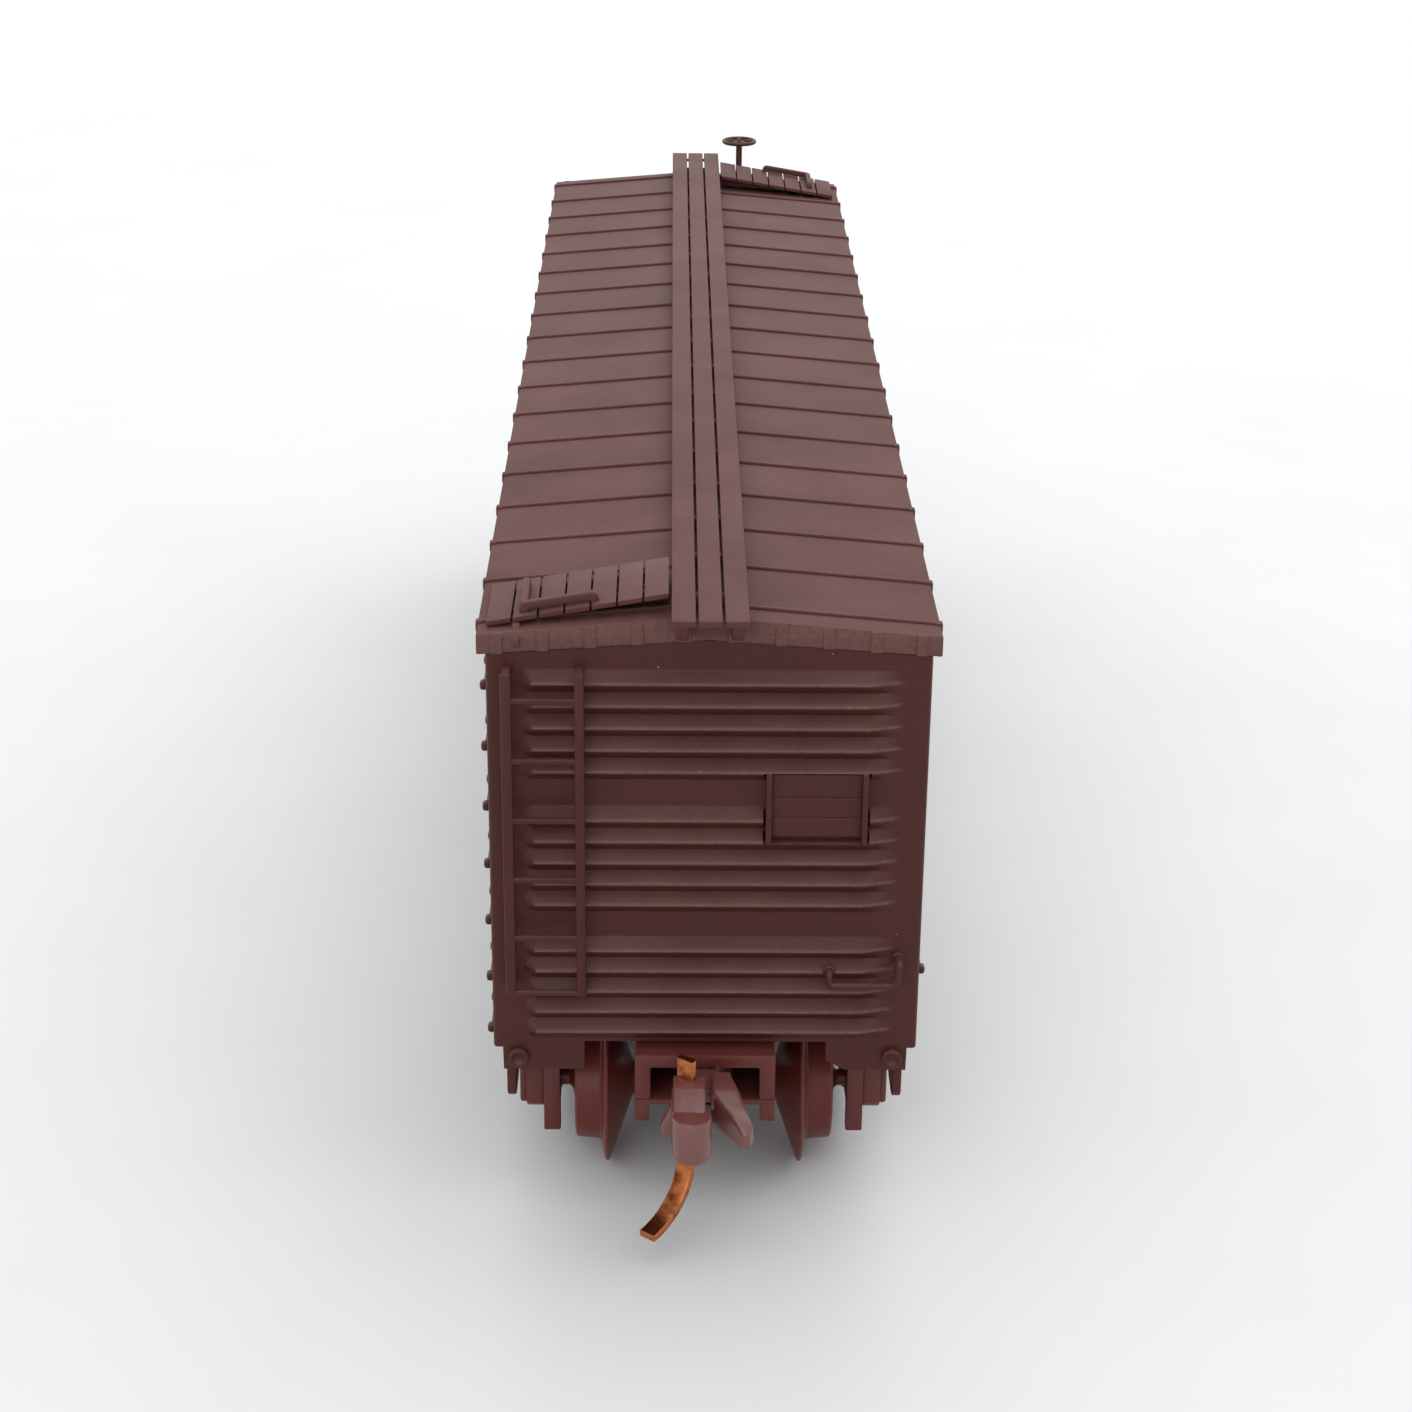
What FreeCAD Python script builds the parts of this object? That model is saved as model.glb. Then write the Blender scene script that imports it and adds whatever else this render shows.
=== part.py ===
import FreeCAD, Part
import Sketcher
import math
import os
import re

# Model box car, N scale (1:160).  Length runs along Y with the lumber-door end facing -Y,
# +X is the right-hand side seen from that end, +Z is up, and z = 0 is the plane under the flanges.
# Almost everything repeats under a half turn about Z: each shared piece is drawn once at the
# -Y end ("a") and turned half round for the +Y end ("b").

doc = FreeCAD.newDocument("BoxCar")
V = FreeCAD.Vector
UP = V(0, 0, 1)
HALF_TURN = FreeCAD.Placement(V(0, 0, 0), FreeCAD.Rotation(UP, 180))

DIMENSIONS = [
    ("end_plane", 39.8), ("side_plane", 8.75), ("wall", 0.9), ("wall_foot", 7.3), ("wall_head", 24.84),
    ("floor_low", 7.7), ("floor_high", 8.7), ("weight_high", 9.9),
    ("roof_half", 9.08), ("roof_end", 39.9), ("eave_low", 24.86), ("eave_high", 25.71),
    ("ridge_low", 25.52), ("ridge_high", 26.5), ("rib_high", 0.13), ("rib_pitch", 4.54), ("rib_count", 18),
    ("door_half", 5.7), ("door_sill", 8.7), ("door_lintel", 23.3), ("door_leaf_half", 6.0),
    ("door_travel", 11.4), ("leaf_in", 8.8), ("leaf_out", 8.93), ("leaf_frame", 9.0), ("track_out", 9.08),
    ("board_pitch", 0.885), ("groove_deep", 0.09), ("iron_out", 0.14),
    ("walk_half", 1.49), ("walk_low", 26.93), ("walk_high", 27.2), ("walk_end", 42.2),
    ("truck_centre", 30.6), ("axle_offset", 5.3), ("axle_high", 3.6),
    ("swivel_bore", 0.95), ("swivel_pin", 0.9), ("post_y", 38.8), ("coupler_bore", 0.55),
    ("coupler_post", 0.5),
]
sheet = doc.addObject("Spreadsheet::Sheet", "Dims")
for row, (alias, value) in enumerate(DIMENSIONS, start=1):
    sheet.set("A%d" % row, alias)
    sheet.set("B%d" % row, str(value))
    sheet.setAlias("B%d" % row, alias)
doc.recompute()
D = dict(DIMENSIONS)
nodes = {}


def expr(value):
    """Expression text: every dimension name is read from the sheet, numbers stay numbers."""
    return re.sub("[a-z][a-z_]*", lambda word: "Dims." + word.group(), str(value))


def bind(obj, prop, value):
    obj.setExpression(prop, expr(value))


def box(name, x, y, z):
    """A block given by its low and high value along each axis."""
    block = doc.addObject("Part::Box", name)
    for prop, axis, (low, high) in (("Length", "x", x), ("Width", "y", y), ("Height", "z", z)):
        bind(block, prop, "(%s)-(%s)" % (high, low))
        bind(block, "Placement.Base." + axis, low)
    return block


def rod(name, start, end, radius):
    """A round bar between two points."""
    bar = doc.addObject("Part::Cylinder", name)
    run = V(*end) - V(*start)
    bind(bar, "Radius", radius)
    bar.Height = run.Length
    bar.Placement = FreeCAD.Placement(V(*start), FreeCAD.Rotation(UP, run))
    return bar


def ball(name, centre, radius):
    sphere = doc.addObject("Part::Sphere", name)
    sphere.Radius = radius
    sphere.Placement = FreeCAD.Placement(V(*centre), FreeCAD.Rotation())
    return sphere


def wire(name, points, radius):
    """Round bars along a path, with a ball at each bend."""
    bars = [rod("%s_bar%d" % (name, i), a, b, radius) for i, (a, b) in enumerate(zip(points, points[1:]))]
    return bars + [ball("%s_bend%d" % (name, i), p, radius) for i, p in enumerate(points[1:-1])]


def fuse(name, shapes):
    if len(shapes) == 1:
        return shapes[0]
    union = doc.addObject("Part::MultiFuse", name)
    union.Shapes = shapes
    return union


def cut(name, base, tools):
    difference = doc.addObject("Part::Cut", name)
    difference.Base = base
    difference.Tool = fuse(name + "_tools", tools)
    return difference


def sketch(body, name, plane, points, offset=0):
    """A closed polygon on one of the body's own origin planes, every corner placed by expression."""
    flat = next(f for f in body.Origin.OriginFeatures if f.Role == plane)
    drawing = body.newObject("Sketcher::SketchObject", name)
    drawing.AttachmentSupport = [(flat, "")]
    drawing.MapMode = "FlatFace"
    bind(drawing, "AttachmentOffset.Base.z", offset)
    count = len(points)
    ring = [V(math.cos(2 * math.pi * i / count), math.sin(2 * math.pi * i / count), 0) for i in range(count)]
    for i in range(count):
        drawing.addGeometry(Part.LineSegment(ring[i], ring[(i + 1) % count]), False)
    for i in range(count):
        drawing.addConstraint(Sketcher.Constraint("Coincident", i, 2, (i + 1) % count, 1))
    for i, pair in enumerate(points):
        for kind, value in zip(("DistanceX", "DistanceY"), pair):
            index = drawing.addConstraint(Sketcher.Constraint(kind, -1, 1, i, 1, 1.0))
            drawing.setExpression("Constraints[%d]" % index, expr(value))
    return drawing


def slab(name, plane, points, low, high):
    """A polygon on an origin plane, padded between two values along the remaining axis."""
    body = doc.addObject("PartDesign::Body", name)
    start = "-(%s)" % high if plane == "XZ_Plane" else low
    outline = sketch(body, name + "_outline", plane, points, start)
    doc.recompute()
    pad = body.newObject("PartDesign::Pad", name + "_pad")
    pad.Profile = outline
    bind(pad, "Length", "(%s)-(%s)" % (high, low))
    return body


def repeat(body, name, feature, axis, length, count):
    """A straight row of one feature along an origin axis of the body."""
    line = next(f for f in body.Origin.OriginFeatures if f.Role == axis)
    row = body.newObject("PartDesign::LinearPattern", name)
    row.Originals = [feature]
    row.Direction = (line, [""])
    bind(row, "Length", length)
    bind(row, "Occurrences", count)
    body.Tip = row
    return row


def keep(name, shape, turned=False):
    """Register a finished piece under its node name; a turned piece is set half round about Z."""
    if turned:
        if shape.ExpressionEngine:
            holder = doc.addObject("Part::Compound", name + "_turned")
            holder.Links = [shape]
            shape = holder
        shape.Placement = HALF_TURN.multiply(shape.Placement)
    shape.Label = name
    nodes[name] = shape


# ---------------------------------------------------------------- sides, ends and floor


def build_side(name, turned):
    """Right-hand wall: vertical boards, with the doorway in the middle."""
    wall = box(name + "_wall", ("side_plane-wall", "side_plane"), ("-end_plane+wall", "end_plane-wall"),
               ("wall_foot", "wall_head"))
    tools = [box(name + "_doorway", ("side_plane-wall-1", "side_plane+1"), ("-door_half", "door_half"),
                 ("door_sill", "door_lintel"))]
    boards = int(2 * (D["end_plane"] - D["wall"]) / D["board_pitch"])
    for i in range(1, boards):
        y = (i - boards / 2) * D["board_pitch"]
        if abs(y) < D["door_leaf_half"] + 0.2:
            continue
        tools.append(box("%s_groove%d" % (name, i), ("side_plane-groove_deep", "side_plane+1"),
                         (round(y - 0.05, 4), round(y + 0.05, 4)), ("wall_foot+0.5", "wall_head-0.3")))
    keep(name, cut(name + "_cut", wall, tools), turned)


RIB_GROUPS = (19.73, 13.85, 8.0)     # underside of the lowest rib of each group
RIB_HIGH = 0.55
RIB_STEP = 0.94


def build_end(name, turned, lumber_door):
    """Pressed-steel end: a flat sheet with three groups of five horizontal ribs."""
    outline = [("-side_plane", "wall_foot"), (-8.35, "wall_foot"), (-8.35, 6.25), (-5.0, 6.25), (-5.0, 7.6),
               (5.0, 7.6), (5.0, 6.7), (5.8, 6.25), (8.35, 6.25), (8.35, "wall_foot"),
               ("side_plane", "wall_foot"), ("side_plane", "wall_head"), (0, "ridge_low-0.01"),
               ("-side_plane", "wall_head")]
    end = slab(name + "_sheet", "XZ_Plane", outline, "-end_plane", "-end_plane+wall")
    plan = [(-7.45, "-end_plane+0.1"), (-7.45, "-end_plane"), (-6.05, "-end_plane-0.45"),
            (6.3, "-end_plane-0.45"), (7.7, "-end_plane"), (7.7, "-end_plane+0.1")]
    for group, low in enumerate(RIB_GROUPS):
        rib = end.newObject("PartDesign::Pad", "%s_rib%d" % (name, group))
        rib.Profile = sketch(end, "%s_plan%d" % (name, group), "XY_Plane", plan, low)
        rib.Length = RIB_HIGH
        end.Tip = rib
        doc.recompute()
        repeat(end, "%s_row%d" % (name, group), rib, "Z_Axis", 4 * RIB_STEP, 5)
        doc.recompute()
    flap_back = box(name + "_flap_back", (-9, 9), ("-end_plane+0.6", "-end_plane+wall+0.1"), (6, "wall_foot"))
    tools = [flap_back]
    if lumber_door:
        tools.append(box(name + "_door_seat", (2.3, 6.37), ("-end_plane-0.6", "-end_plane"), (16.9, 20.0)))
    trimmed = cut(name + "_trimmed", end, tools)
    pockets = []
    for i, x in enumerate((-7.73, 7.73)):
        pockets.append(rod("%s_pocket%d" % (name, i), (x, -39.3, 6.9), (x, -40.1, 6.9), 0.43))
    keep(name, fuse(name + "_whole", [trimmed] + pockets), turned)


build_side("side_right", False)
build_side("side_left", True)
build_end("end_a", False, True)
build_end("end_b", True, False)

board_plate = box("lumber_plate", (2.54, 6.13), ("-end_plane-0.3", "-end_plane"), (17.19, 19.87))
board_joints = []
for i, z in enumerate((18.91, 18.03)):
    board_joints.append(box("lumber_joint%d" % i, (2.5, 6.2), ("-end_plane-0.4", "-end_plane-0.2"),
                            (z - 0.05, z + 0.05)))
rails = []
for i, x in enumerate((2.3, 6.13)):
    rails.append(box("lumber_rail%d" % i, (x, x + 0.24), ("-end_plane-0.5", "-end_plane"), (16.9, 20.0)))
keep("lumber_door", fuse("lumber_whole", [cut("lumber_boards", board_plate, board_joints)] + rails))

sill_outline = [(-28.6, "floor_low"), (-28.6, 6.5), (-22, 6.5), (-18, 5.4), (18, 5.4), (22, 6.5), (28.6, 6.5),
                (28.6, "floor_low")]
sill = slab("centre_sill", "YZ_Plane", sill_outline, -1.2, 1.2)
floor = box("floor", ("-side_plane+wall", "side_plane-wall"), ("-end_plane+wall", "end_plane-wall"),
            ("floor_low", "floor_high"))
frame_parts = [floor, sill]
for i, y in enumerate((-19.0, -7.0, 7.0, 19.0)):
    bearer = [(-7.4, "floor_low"), (-7.4, 7.1), (-1.2, 6.2), (1.2, 6.2), (7.4, 7.1), (7.4, "floor_low")]
    frame_parts.append(slab("bearer%d" % i, "XZ_Plane", bearer, y - 0.4, y + 0.4))
frame_bores = []
for end, sign in (("a", -1), ("b", 1)):
    y = sign * D["truck_centre"]
    frame_parts.append(box("bolster_" + end, (-7.4, 7.4), (y - 1.1, y + 1.1), (7.0, "floor_low")))
    frame_parts.append(rod("boss_" + end, (0, y, 6.63), (0, y, 7.4), 1.9))
    frame_bores.append(rod("pin_bore_" + end, (0, y, 6.0), (0, y, 9.0), "swivel_pin"))
keep("underframe", cut("underframe_cut", fuse("underframe_solid", frame_parts), frame_bores))
keep("ballast_plate", box("ballast", (-6.5, 6.5), (-33, 33), ("floor_high", "weight_high")))
for end in "ab":
    y = -D["truck_centre"]
    pin = fuse("pin_" + end, [rod("pin_shank_" + end, (0, y, 4.3), (0, y, 8.2), "swivel_pin"),
                              rod("pin_head_" + end, (0, y, 4.15), (0, y, 4.57), 1.4)])
    keep("bolster_pin_" + end, pin, end == "b")

# ---------------------------------------------------------------- roof and walkways

roof_outline = [("-roof_half", "eave_low"), ("-roof_half", "eave_high"), (0, "ridge_high"),
                ("roof_half", "eave_high"), ("roof_half", "eave_low"), (0, "ridge_low")]
roof = slab("roof_body", "XZ_Plane", roof_outline, "-roof_end", "roof_end")
cap = "roof_half+0.08"
rib_outline = [("-(%s)" % cap, 25.4), ("-(%s)" % cap, "eave_high+rib_high"), (0, "ridge_high+rib_high"),
               (cap, "eave_high+rib_high"), (cap, 25.4), ("roof_half-0.1", 25.4),
               ("roof_half-0.1", "eave_high-0.2"), (0, "ridge_high-0.2"), ("-roof_half+0.1", "eave_high-0.2"),
               ("-roof_half+0.1", 25.4)]
first_rib = "(rib_count-1)*rib_pitch/2"
roof_rib = roof.newObject("PartDesign::Pad", "roof_rib")
roof_rib.Profile = sketch(roof, "roof_rib_outline", "XZ_Plane", rib_outline, "%s-0.125" % first_rib)
roof_rib.Length = 0.25
roof.Tip = roof_rib
doc.recompute()
repeat(roof, "roof_ribs", roof_rib, "Y_Axis", "(rib_count-1)*rib_pitch", "rib_count")
doc.recompute()
keep("roof", roof)

planks = [box("plank%d" % i, (low, high), ("-walk_end", "walk_end"), ("walk_low", "walk_high"))
          for i, (low, high) in enumerate((("-walk_half", -0.56), (-0.46, 0.46), (0.56, "walk_half")))]
saddles = []
for i in range(D["rib_count"]):
    y = (i - (D["rib_count"] - 1) / 2) * D["rib_pitch"]
    saddle = [(-1.35, "walk_low+0.02"), (-1.35, 26.52), (0, 26.64), (1.35, 26.52), (1.35, "walk_low+0.02")]
    saddles.append(slab("saddle%d" % i, "XZ_Plane", saddle, y - 0.25, y + 0.25))
feet = []
for end, s in (("a", -1), ("b", 1)):
    for side in (-1, 1):
        strut = [(s * 41.7, "walk_low+0.02"), (s * 41.4, "walk_low+0.02"), (s * 39.92, 26.0), (s * 39.92, 25.7),
                 (s * 40.2, 25.7)]
        name = "foot_%s%d" % (end, side > 0)
        feet.append(slab(name, "YZ_Plane", strut, side * 1.07 - 0.25, side * 1.07 + 0.25))
keep("running_board", fuse("walk_whole", planks + saddles + feet))


def board_top(x):
    """Height of a lateral board's top at a distance x from the centre line."""
    return 26.02 + (8.7 - x) * 1.23 / 7.17


for end in "ab":
    pieces = []
    for i in range(7):
        high = 8.7 - i * 1.0252
        low = high - 0.96
        corners = [(-high, board_top(high)), (-low, board_top(low)), (-low, board_top(low) - 0.14),
                   (-high, board_top(high) - 0.14)]
        pieces.append(slab("lateral%d_%s" % (i, end), "XZ_Plane", corners, -39.3, -35.15))
    wedge = [(-8.6, board_top(8.6) - 0.13), (-1.62, board_top(1.62) - 0.13), (-1.62, 26.52), (-8.6, 25.9)]
    for i, y in enumerate((-38.0, -35.9)):
        pieces.append(slab("lateral_rest%d_%s" % (i, end), "XZ_Plane", wedge, y - 0.2, y + 0.2))
    keep("lateral_board_" + end, fuse("lateral_" + end, pieces), end == "b")
    loop = [(-7.25, -36.1, 26.28), (-7.25, -36.1, 26.58), (-7.25, -38.8, 26.58), (-4.5, -38.8, 27.05),
            (-4.5, -38.8, 26.76)]
    foot = [(-7.25, -38.8, 26.28), (-7.25, -38.8, 26.58)]
    bars = wire("roof_loop_" + end, loop, 0.15) + wire("roof_foot_" + end, foot, 0.15)
    keep("roof_grab_" + end, fuse("roof_grab_whole_" + end, bars), end == "b")

# ---------------------------------------------------------------- ladders, grab irons and steps

END_RUNGS = (23.21, 20.65, 18.07, 15.45, 12.84, 10.32)
SIDE_RUNGS = (23.26, 20.63, 18.0, 15.43, 12.87, 10.27, 7.84)


def side_iron(name, z, side):
    """A moulded grab iron lying close against a side near the corner."""
    x = side * D["side_plane"]
    out = x + side * D["iron_out"]
    return wire(name, [(x, -39.1, z), (out, -39.1, z), (out, -36.4, z), (x, -36.4, z)], 0.13)


for end in "ab":
    turned = end == "b"
    ladder = []
    for i, (low, high) in enumerate(((-8.14, -7.71), (-5.26, -4.87))):
        ladder.append(box("stile%d_%s" % (i, end), (low, high), (-40.75, -40.45), (10.2, 24.37)))
        for j, z in enumerate((10.62, 24.22)):
            ladder.append(box("ladder_foot%d%d_%s" % (i, j, end), (low, high), (-40.5, "-end_plane"),
                              (z - 0.15, z + 0.15)))
    for i, z in enumerate(END_RUNGS):
        ladder.append(rod("end_rung%d_%s" % (i, end), (-8.0, -40.6, z), (-5.0, -40.6, z), 0.14))
    keep("end_ladder_" + end, fuse("end_ladder_whole_" + end, ladder), turned)
    irons = []
    for i, z in enumerate(SIDE_RUNGS):
        irons.append(fuse("side_rung%d_%s" % (i, end), side_iron("side_iron%d_%s" % (i, end), z, -1)))
    rack = doc.addObject("Part::Compound", "side_rungs_" + end)
    rack.Links = irons
    keep("side_ladder_" + ("left" if end == "a" else "right"), rack, turned)
    single = fuse("side_grab_whole_" + end, side_iron("side_grab_iron_" + end, 10.67, 1))
    keep("side_grab_" + ("right" if end == "a" else "left"), single, turned)
    bar = [(5.0, -40.25, 11.2), (5.0, -40.55, 11.2), (5.0, -40.55, 10.65), (7.7, -40.55, 10.65),
           (7.85, -40.55, 11.58), (7.85, -39.8, 11.58)]
    keep("end_grab_" + end, fuse("end_grab_whole_" + end, wire("end_grab_bar_" + end, bar, 0.15)), turned)

steps = []
for i, (x, y) in enumerate(((8.08, -37.9), (-8.08, -37.9), (8.08, 37.9), (-8.08, 37.9))):
    strap = [box("step%d_tread" % i, (x - 0.2, x + 0.2), (y - 1.19, y + 1.19), (4.4, 4.7))]
    for j, leg_y in enumerate((y - 1.02, y + 1.02)):
        strap.append(box("step%d_leg%d" % (i, j), (x - 0.2, x + 0.2), (leg_y - 0.17, leg_y + 0.17),
                         (4.4, "wall_foot")))
    steps.append(fuse("step%d" % i, strap))
step_set = doc.addObject("Part::Compound", "step_set")
step_set.Links = steps
keep("corner_steps", step_set)

# ---------------------------------------------------------------- doors

for side in ("right", "left"):
    turned = side == "left"
    tracks = []
    reach = ("-door_leaf_half-0.4", "door_leaf_half+door_travel+0.4")
    for name, bar_z, lip_z in (("head", (23.75, 24.15), (23.5, 23.8)), ("sill", (8.0, 8.35), (8.3, 8.6))):
        bar = box("%s_bar_%s" % (name, side), ("side_plane", "track_out"), reach, bar_z)
        lip = box("%s_lip_%s" % (name, side), ("leaf_frame+0.02", "track_out"), reach, lip_z)
        tracks.append(fuse("%s_track_%s" % (name, side), [bar, lip]))
    track_set = doc.addObject("Part::Compound", "track_set_" + side)
    track_set.Links = tracks
    keep("door_tracks_" + side, track_set, turned)
    across = ("-door_leaf_half", "door_leaf_half")
    frame = ("leaf_out-0.03", "leaf_frame")
    leaf = [box("leaf_" + side, ("leaf_in", "leaf_out"), across, (8.4, 23.7))]
    for i, y in enumerate((-5.75, 5.75)):
        leaf.append(box("door_stile%d_%s" % (i, side), frame, (y - 0.25, y + 0.25), (8.4, 23.7)))
    for i, z in enumerate((8.7, 16.0, 23.4)):
        leaf.append(box("door_rail%d_%s" % (i, side), frame, across, (z - 0.3, z + 0.3)))
    leaf.append(box("door_grip_pad_" + side, frame, (-5.3, -4.9), (13.0, 14.8)))
    leaf.append(rod("door_grip_" + side, (9.0, -5.1, 13.3), (9.0, -5.1, 14.5), 0.06))
    keep("door_" + side, fuse("door_whole_" + side, leaf), turned)

# ---------------------------------------------------------------- hand brake

STAFF = (2.84, 40.95)
shelf = box("brake_shelf", (1.3, 4.4), ("end_plane", 41.5), (12.9, 13.2))
eye = box("brake_eye", (2.44, 3.24), ("end_plane", 41.35), (24.15, 24.4))
lower = box("brake_heel", (2.44, 3.24), ("end_plane", 41.35), (7.62, 7.92))
bores = []
for i, z in enumerate((12.5, 23.8, 7.72)):
    bores.append(rod("staff_bore%d" % i, (STAFF[0], STAFF[1], z), (STAFF[0], STAFF[1], z + 1), 0.26))
keep("brake_step", cut("brake_step_cut", shelf, [bores[0]]))
keep("brake_eye_bracket", cut("brake_eye_cut", eye, [bores[1]]))
keep("brake_heel_bracket", cut("brake_heel_cut", lower, [bores[2]]))
keep("brake_staff", rod("staff", (STAFF[0], STAFF[1], 7.78), (STAFF[0], STAFF[1], 28.05), 0.2))
rim = doc.addObject("Part::Torus", "wheel_rim")
rim.Radius1 = 1.0
rim.Radius2 = 0.13
rim.Placement = FreeCAD.Placement(V(STAFF[0], STAFF[1], 28.2), FreeCAD.Rotation())
wheel = [rim, rod("wheel_hub", (STAFF[0], STAFF[1], 28.05), (STAFF[0], STAFF[1], 28.4), 0.28)]
for i in range(5):
    angle = math.radians(90 + 72 * i)
    tip = (STAFF[0] + math.cos(angle), STAFF[1] + math.sin(angle), 28.2)
    wheel.append(rod("wheel_spoke%d" % i, (STAFF[0], STAFF[1], 28.2), tip, 0.09))
keep("brake_wheel", fuse("wheel_whole", wheel))

# ---------------------------------------------------------------- trucks

CENTRE = -D["truck_centre"]


def truck_y(offset):
    """Row-frame y of a point at this offset from the centre of the truck at the -Y end."""
    return round(CENTRE + offset, 4)


def side_frame(name, side):
    """Cast side frame with a journal box at each end and open windows about the springs."""
    half = [(1.7, 6.25), (3.0, 5.55), (5.5, 5.15), (6.3, 4.6), (6.3, 1.5), (5.75, 1.5), (5.6, 2.6), (4.4, 2.6),
            (2.3, 1.3)]
    outer = half + [(-v, z) for v, z in reversed(half)]
    low, high = sorted((side * 6.125, side * 6.875))
    plate = slab(name + "_plate", "YZ_Plane", [(truck_y(v), z) for v, z in outer], low, high)
    windows = []
    for i, s in enumerate((-1, 1)):
        corners = ((1.9, 4.9), (2.9, 4.7), (4.3, 4.4), (4.3, 3.5), (2.3, 2.2), (1.9, 2.2))
        gap = [(truck_y(s * v), z) for v, z in corners]
        windows.append(slab("%s_window%d" % (name, i), "YZ_Plane", gap, low - 0.5, high + 0.5))
    windows.append(box(name + "_nest", (low - 0.5, high + 0.5), (truck_y(-1.35), truck_y(1.35)), (2.2, 4.6)))
    for i, s in enumerate((-1, 1)):
        a = (side * 6.0, truck_y(s * D["axle_offset"]), D["axle_high"])
        b = (side * 6.75, truck_y(s * D["axle_offset"]), D["axle_high"])
        windows.append(rod("%s_bearing%d" % (name, i), a, b, 0.4))
    parts = [cut(name + "_open", plate, windows)]
    for i, s in enumerate((-1, 1)):
        y = s * D["axle_offset"]
        for stem, inner, outer_face, reach, z in (("journal", 6.8, 7.6, 0.8, (2.5, 4.8)),
                                                  ("lid", 7.55, 7.9, 0.55, (2.5, 4.5))):
            x = sorted((side * inner, side * outer_face))
            along = (truck_y(y - reach), truck_y(y + reach))
            parts.append(box("%s_%s%d" % (name, stem, i), x, along, z))
    for i, v in enumerate((-0.85, 0, 0.85)):
        foot = (side * 6.5, truck_y(v), 2.15)
        parts.append(rod("%s_spring%d" % (name, i), foot, (foot[0], foot[1], 4.65), 0.36))
    return parts


def build_truck(end):
    turned = end == "b"
    parts = side_frame("frame_right_" + end, 1) + side_frame("frame_left_" + end, -1)
    parts.append(box("truck_bolster_" + end, (-6.2, 6.2), (truck_y(-1.3), truck_y(1.3)), (4.6, 6.0)))
    parts.append(rod("truck_boss_" + end, (0, truck_y(0), 5.5), (0, truck_y(0), 6.6), 1.5))
    parts.append(box("tongue_" + end, (-1.8, 1.8), (truck_y(-4.2), truck_y(-1.2)), (5.3, 6.3)))
    shell = box("pocket_" + end, (-2.9, 2.9), (truck_y(-10.0), truck_y(-3.8)), (5.3, 7.4))
    hollow = box("hollow_" + end, (-2.25, 2.25), (truck_y(-10.5), truck_y(-4.4)), (5.0, 6.8))
    parts.append(cut("pocket_open_" + end, shell, [hollow]))
    parts.append(rod("post_" + end, (0, -D["post_y"], 5.3), (0, -D["post_y"], 6.9), "coupler_post"))
    swivel = rod("swivel_bore_" + end, (0, truck_y(0), 4.0), (0, truck_y(0), 7.0), "swivel_bore")
    keep("truck_frame_" + end, cut("truck_cut_" + end, fuse("truck_solid_" + end, parts), [swivel]), turned)
    lid = [box("lid_plate_" + end, (-2.9, 2.9), (truck_y(-10.0), truck_y(-3.8)), (5.05, 5.3))]
    for i, x in enumerate((-2.9, 2.25)):
        lid.append(box("lid_lug%d_%s" % (i, end), (x, x + 0.65), (truck_y(-10.0), truck_y(-9.3)), (4.25, 5.1)))
    keep("coupler_lid_" + end, fuse("lid_whole_" + end, lid), turned)
    coil_path = doc.addObject("Part::Helix", "coil_path_" + end)
    coil_path.Radius = 0.42
    coil_path.Pitch = 0.36
    coil_path.Height = 2.1
    coil_path.Placement = FreeCAD.Placement(V(0, -37.35, 6.08), FreeCAD.Rotation(UP, V(0, 1, 0)))
    coil_wire = doc.addObject("Part::Circle", "coil_wire_" + end)
    coil_wire.Radius = 0.08
    start = coil_path.Placement.multVec(V(0.42, 0, 0))
    coil_wire.Placement = FreeCAD.Placement(start, FreeCAD.Rotation(UP, V(0, 0, 1)))
    coil = doc.addObject("Part::Sweep", "coil_" + end)
    coil.Sections = [coil_wire]
    coil.Spine = (coil_path, [])
    coil.Solid = True
    coil.Frenet = True
    keep("coupler_spring_" + end, coil, turned)
    for place, v in (("outer", -D["axle_offset"]), ("inner", D["axle_offset"])):
        build_wheelset("wheelset_%s_%s" % (end, place), truck_y(v), turned)


WHEEL_PROFILE = ((0.72, 0.0), (0.72, 3.0), (0.95, 3.12), (3.45, 3.98), (3.6, 4.06), (3.52, 4.2), (2.66, 4.34),
                 (2.55, 5.42), (2.45, 5.47), (2.1, 5.47), (1.9, 5.2), (1.05, 5.2), (0.85, 5.5), (0.6, 5.62),
                 (0.35, 5.75), (0.35, 6.6))


def build_wheelset(name, y, turned):
    """Axle and two flanged wheels turned from one profile (radius, distance from the middle)."""
    body = doc.addObject("PartDesign::Body", name + "_body")
    right = [(x, r) for r, x in WHEEL_PROFILE[1:]] + [(6.6, 0)]
    left = [(-x, r) for x, r in reversed(right)]
    turning = sketch(body, name + "_profile", "XZ_Plane", left + right)
    doc.recompute()
    spin = body.newObject("PartDesign::Revolution", name + "_turn")
    spin.Profile = turning
    spin.ReferenceAxis = (turning, ["H_Axis"])
    spin.Angle = 360
    body.Placement = FreeCAD.Placement(V(0, y, D["axle_high"]), FreeCAD.Rotation())
    keep(name, body, turned)


for end in "ab":
    build_truck(end)

# ---------------------------------------------------------------- couplers

KNUCKLE = [(-1.36, -42.4), (-1.8, -43.3), (-1.36, -43.8), (-1.36, -45.1), (-1.0, -45.5), (0.0, -45.5),
           (0.23, -45.2), (0.23, -44.75), (-0.4, -44.5), (-0.4, -43.5), (0.02, -43.1), (0.02, -42.4)]
GUARD = [(0.2, -42.25), (0.2, -42.6), (1.45, -44.1), (1.75, -44.2), (1.95, -43.9), (1.3, -42.25)]
PIN_X = -0.78


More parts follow.
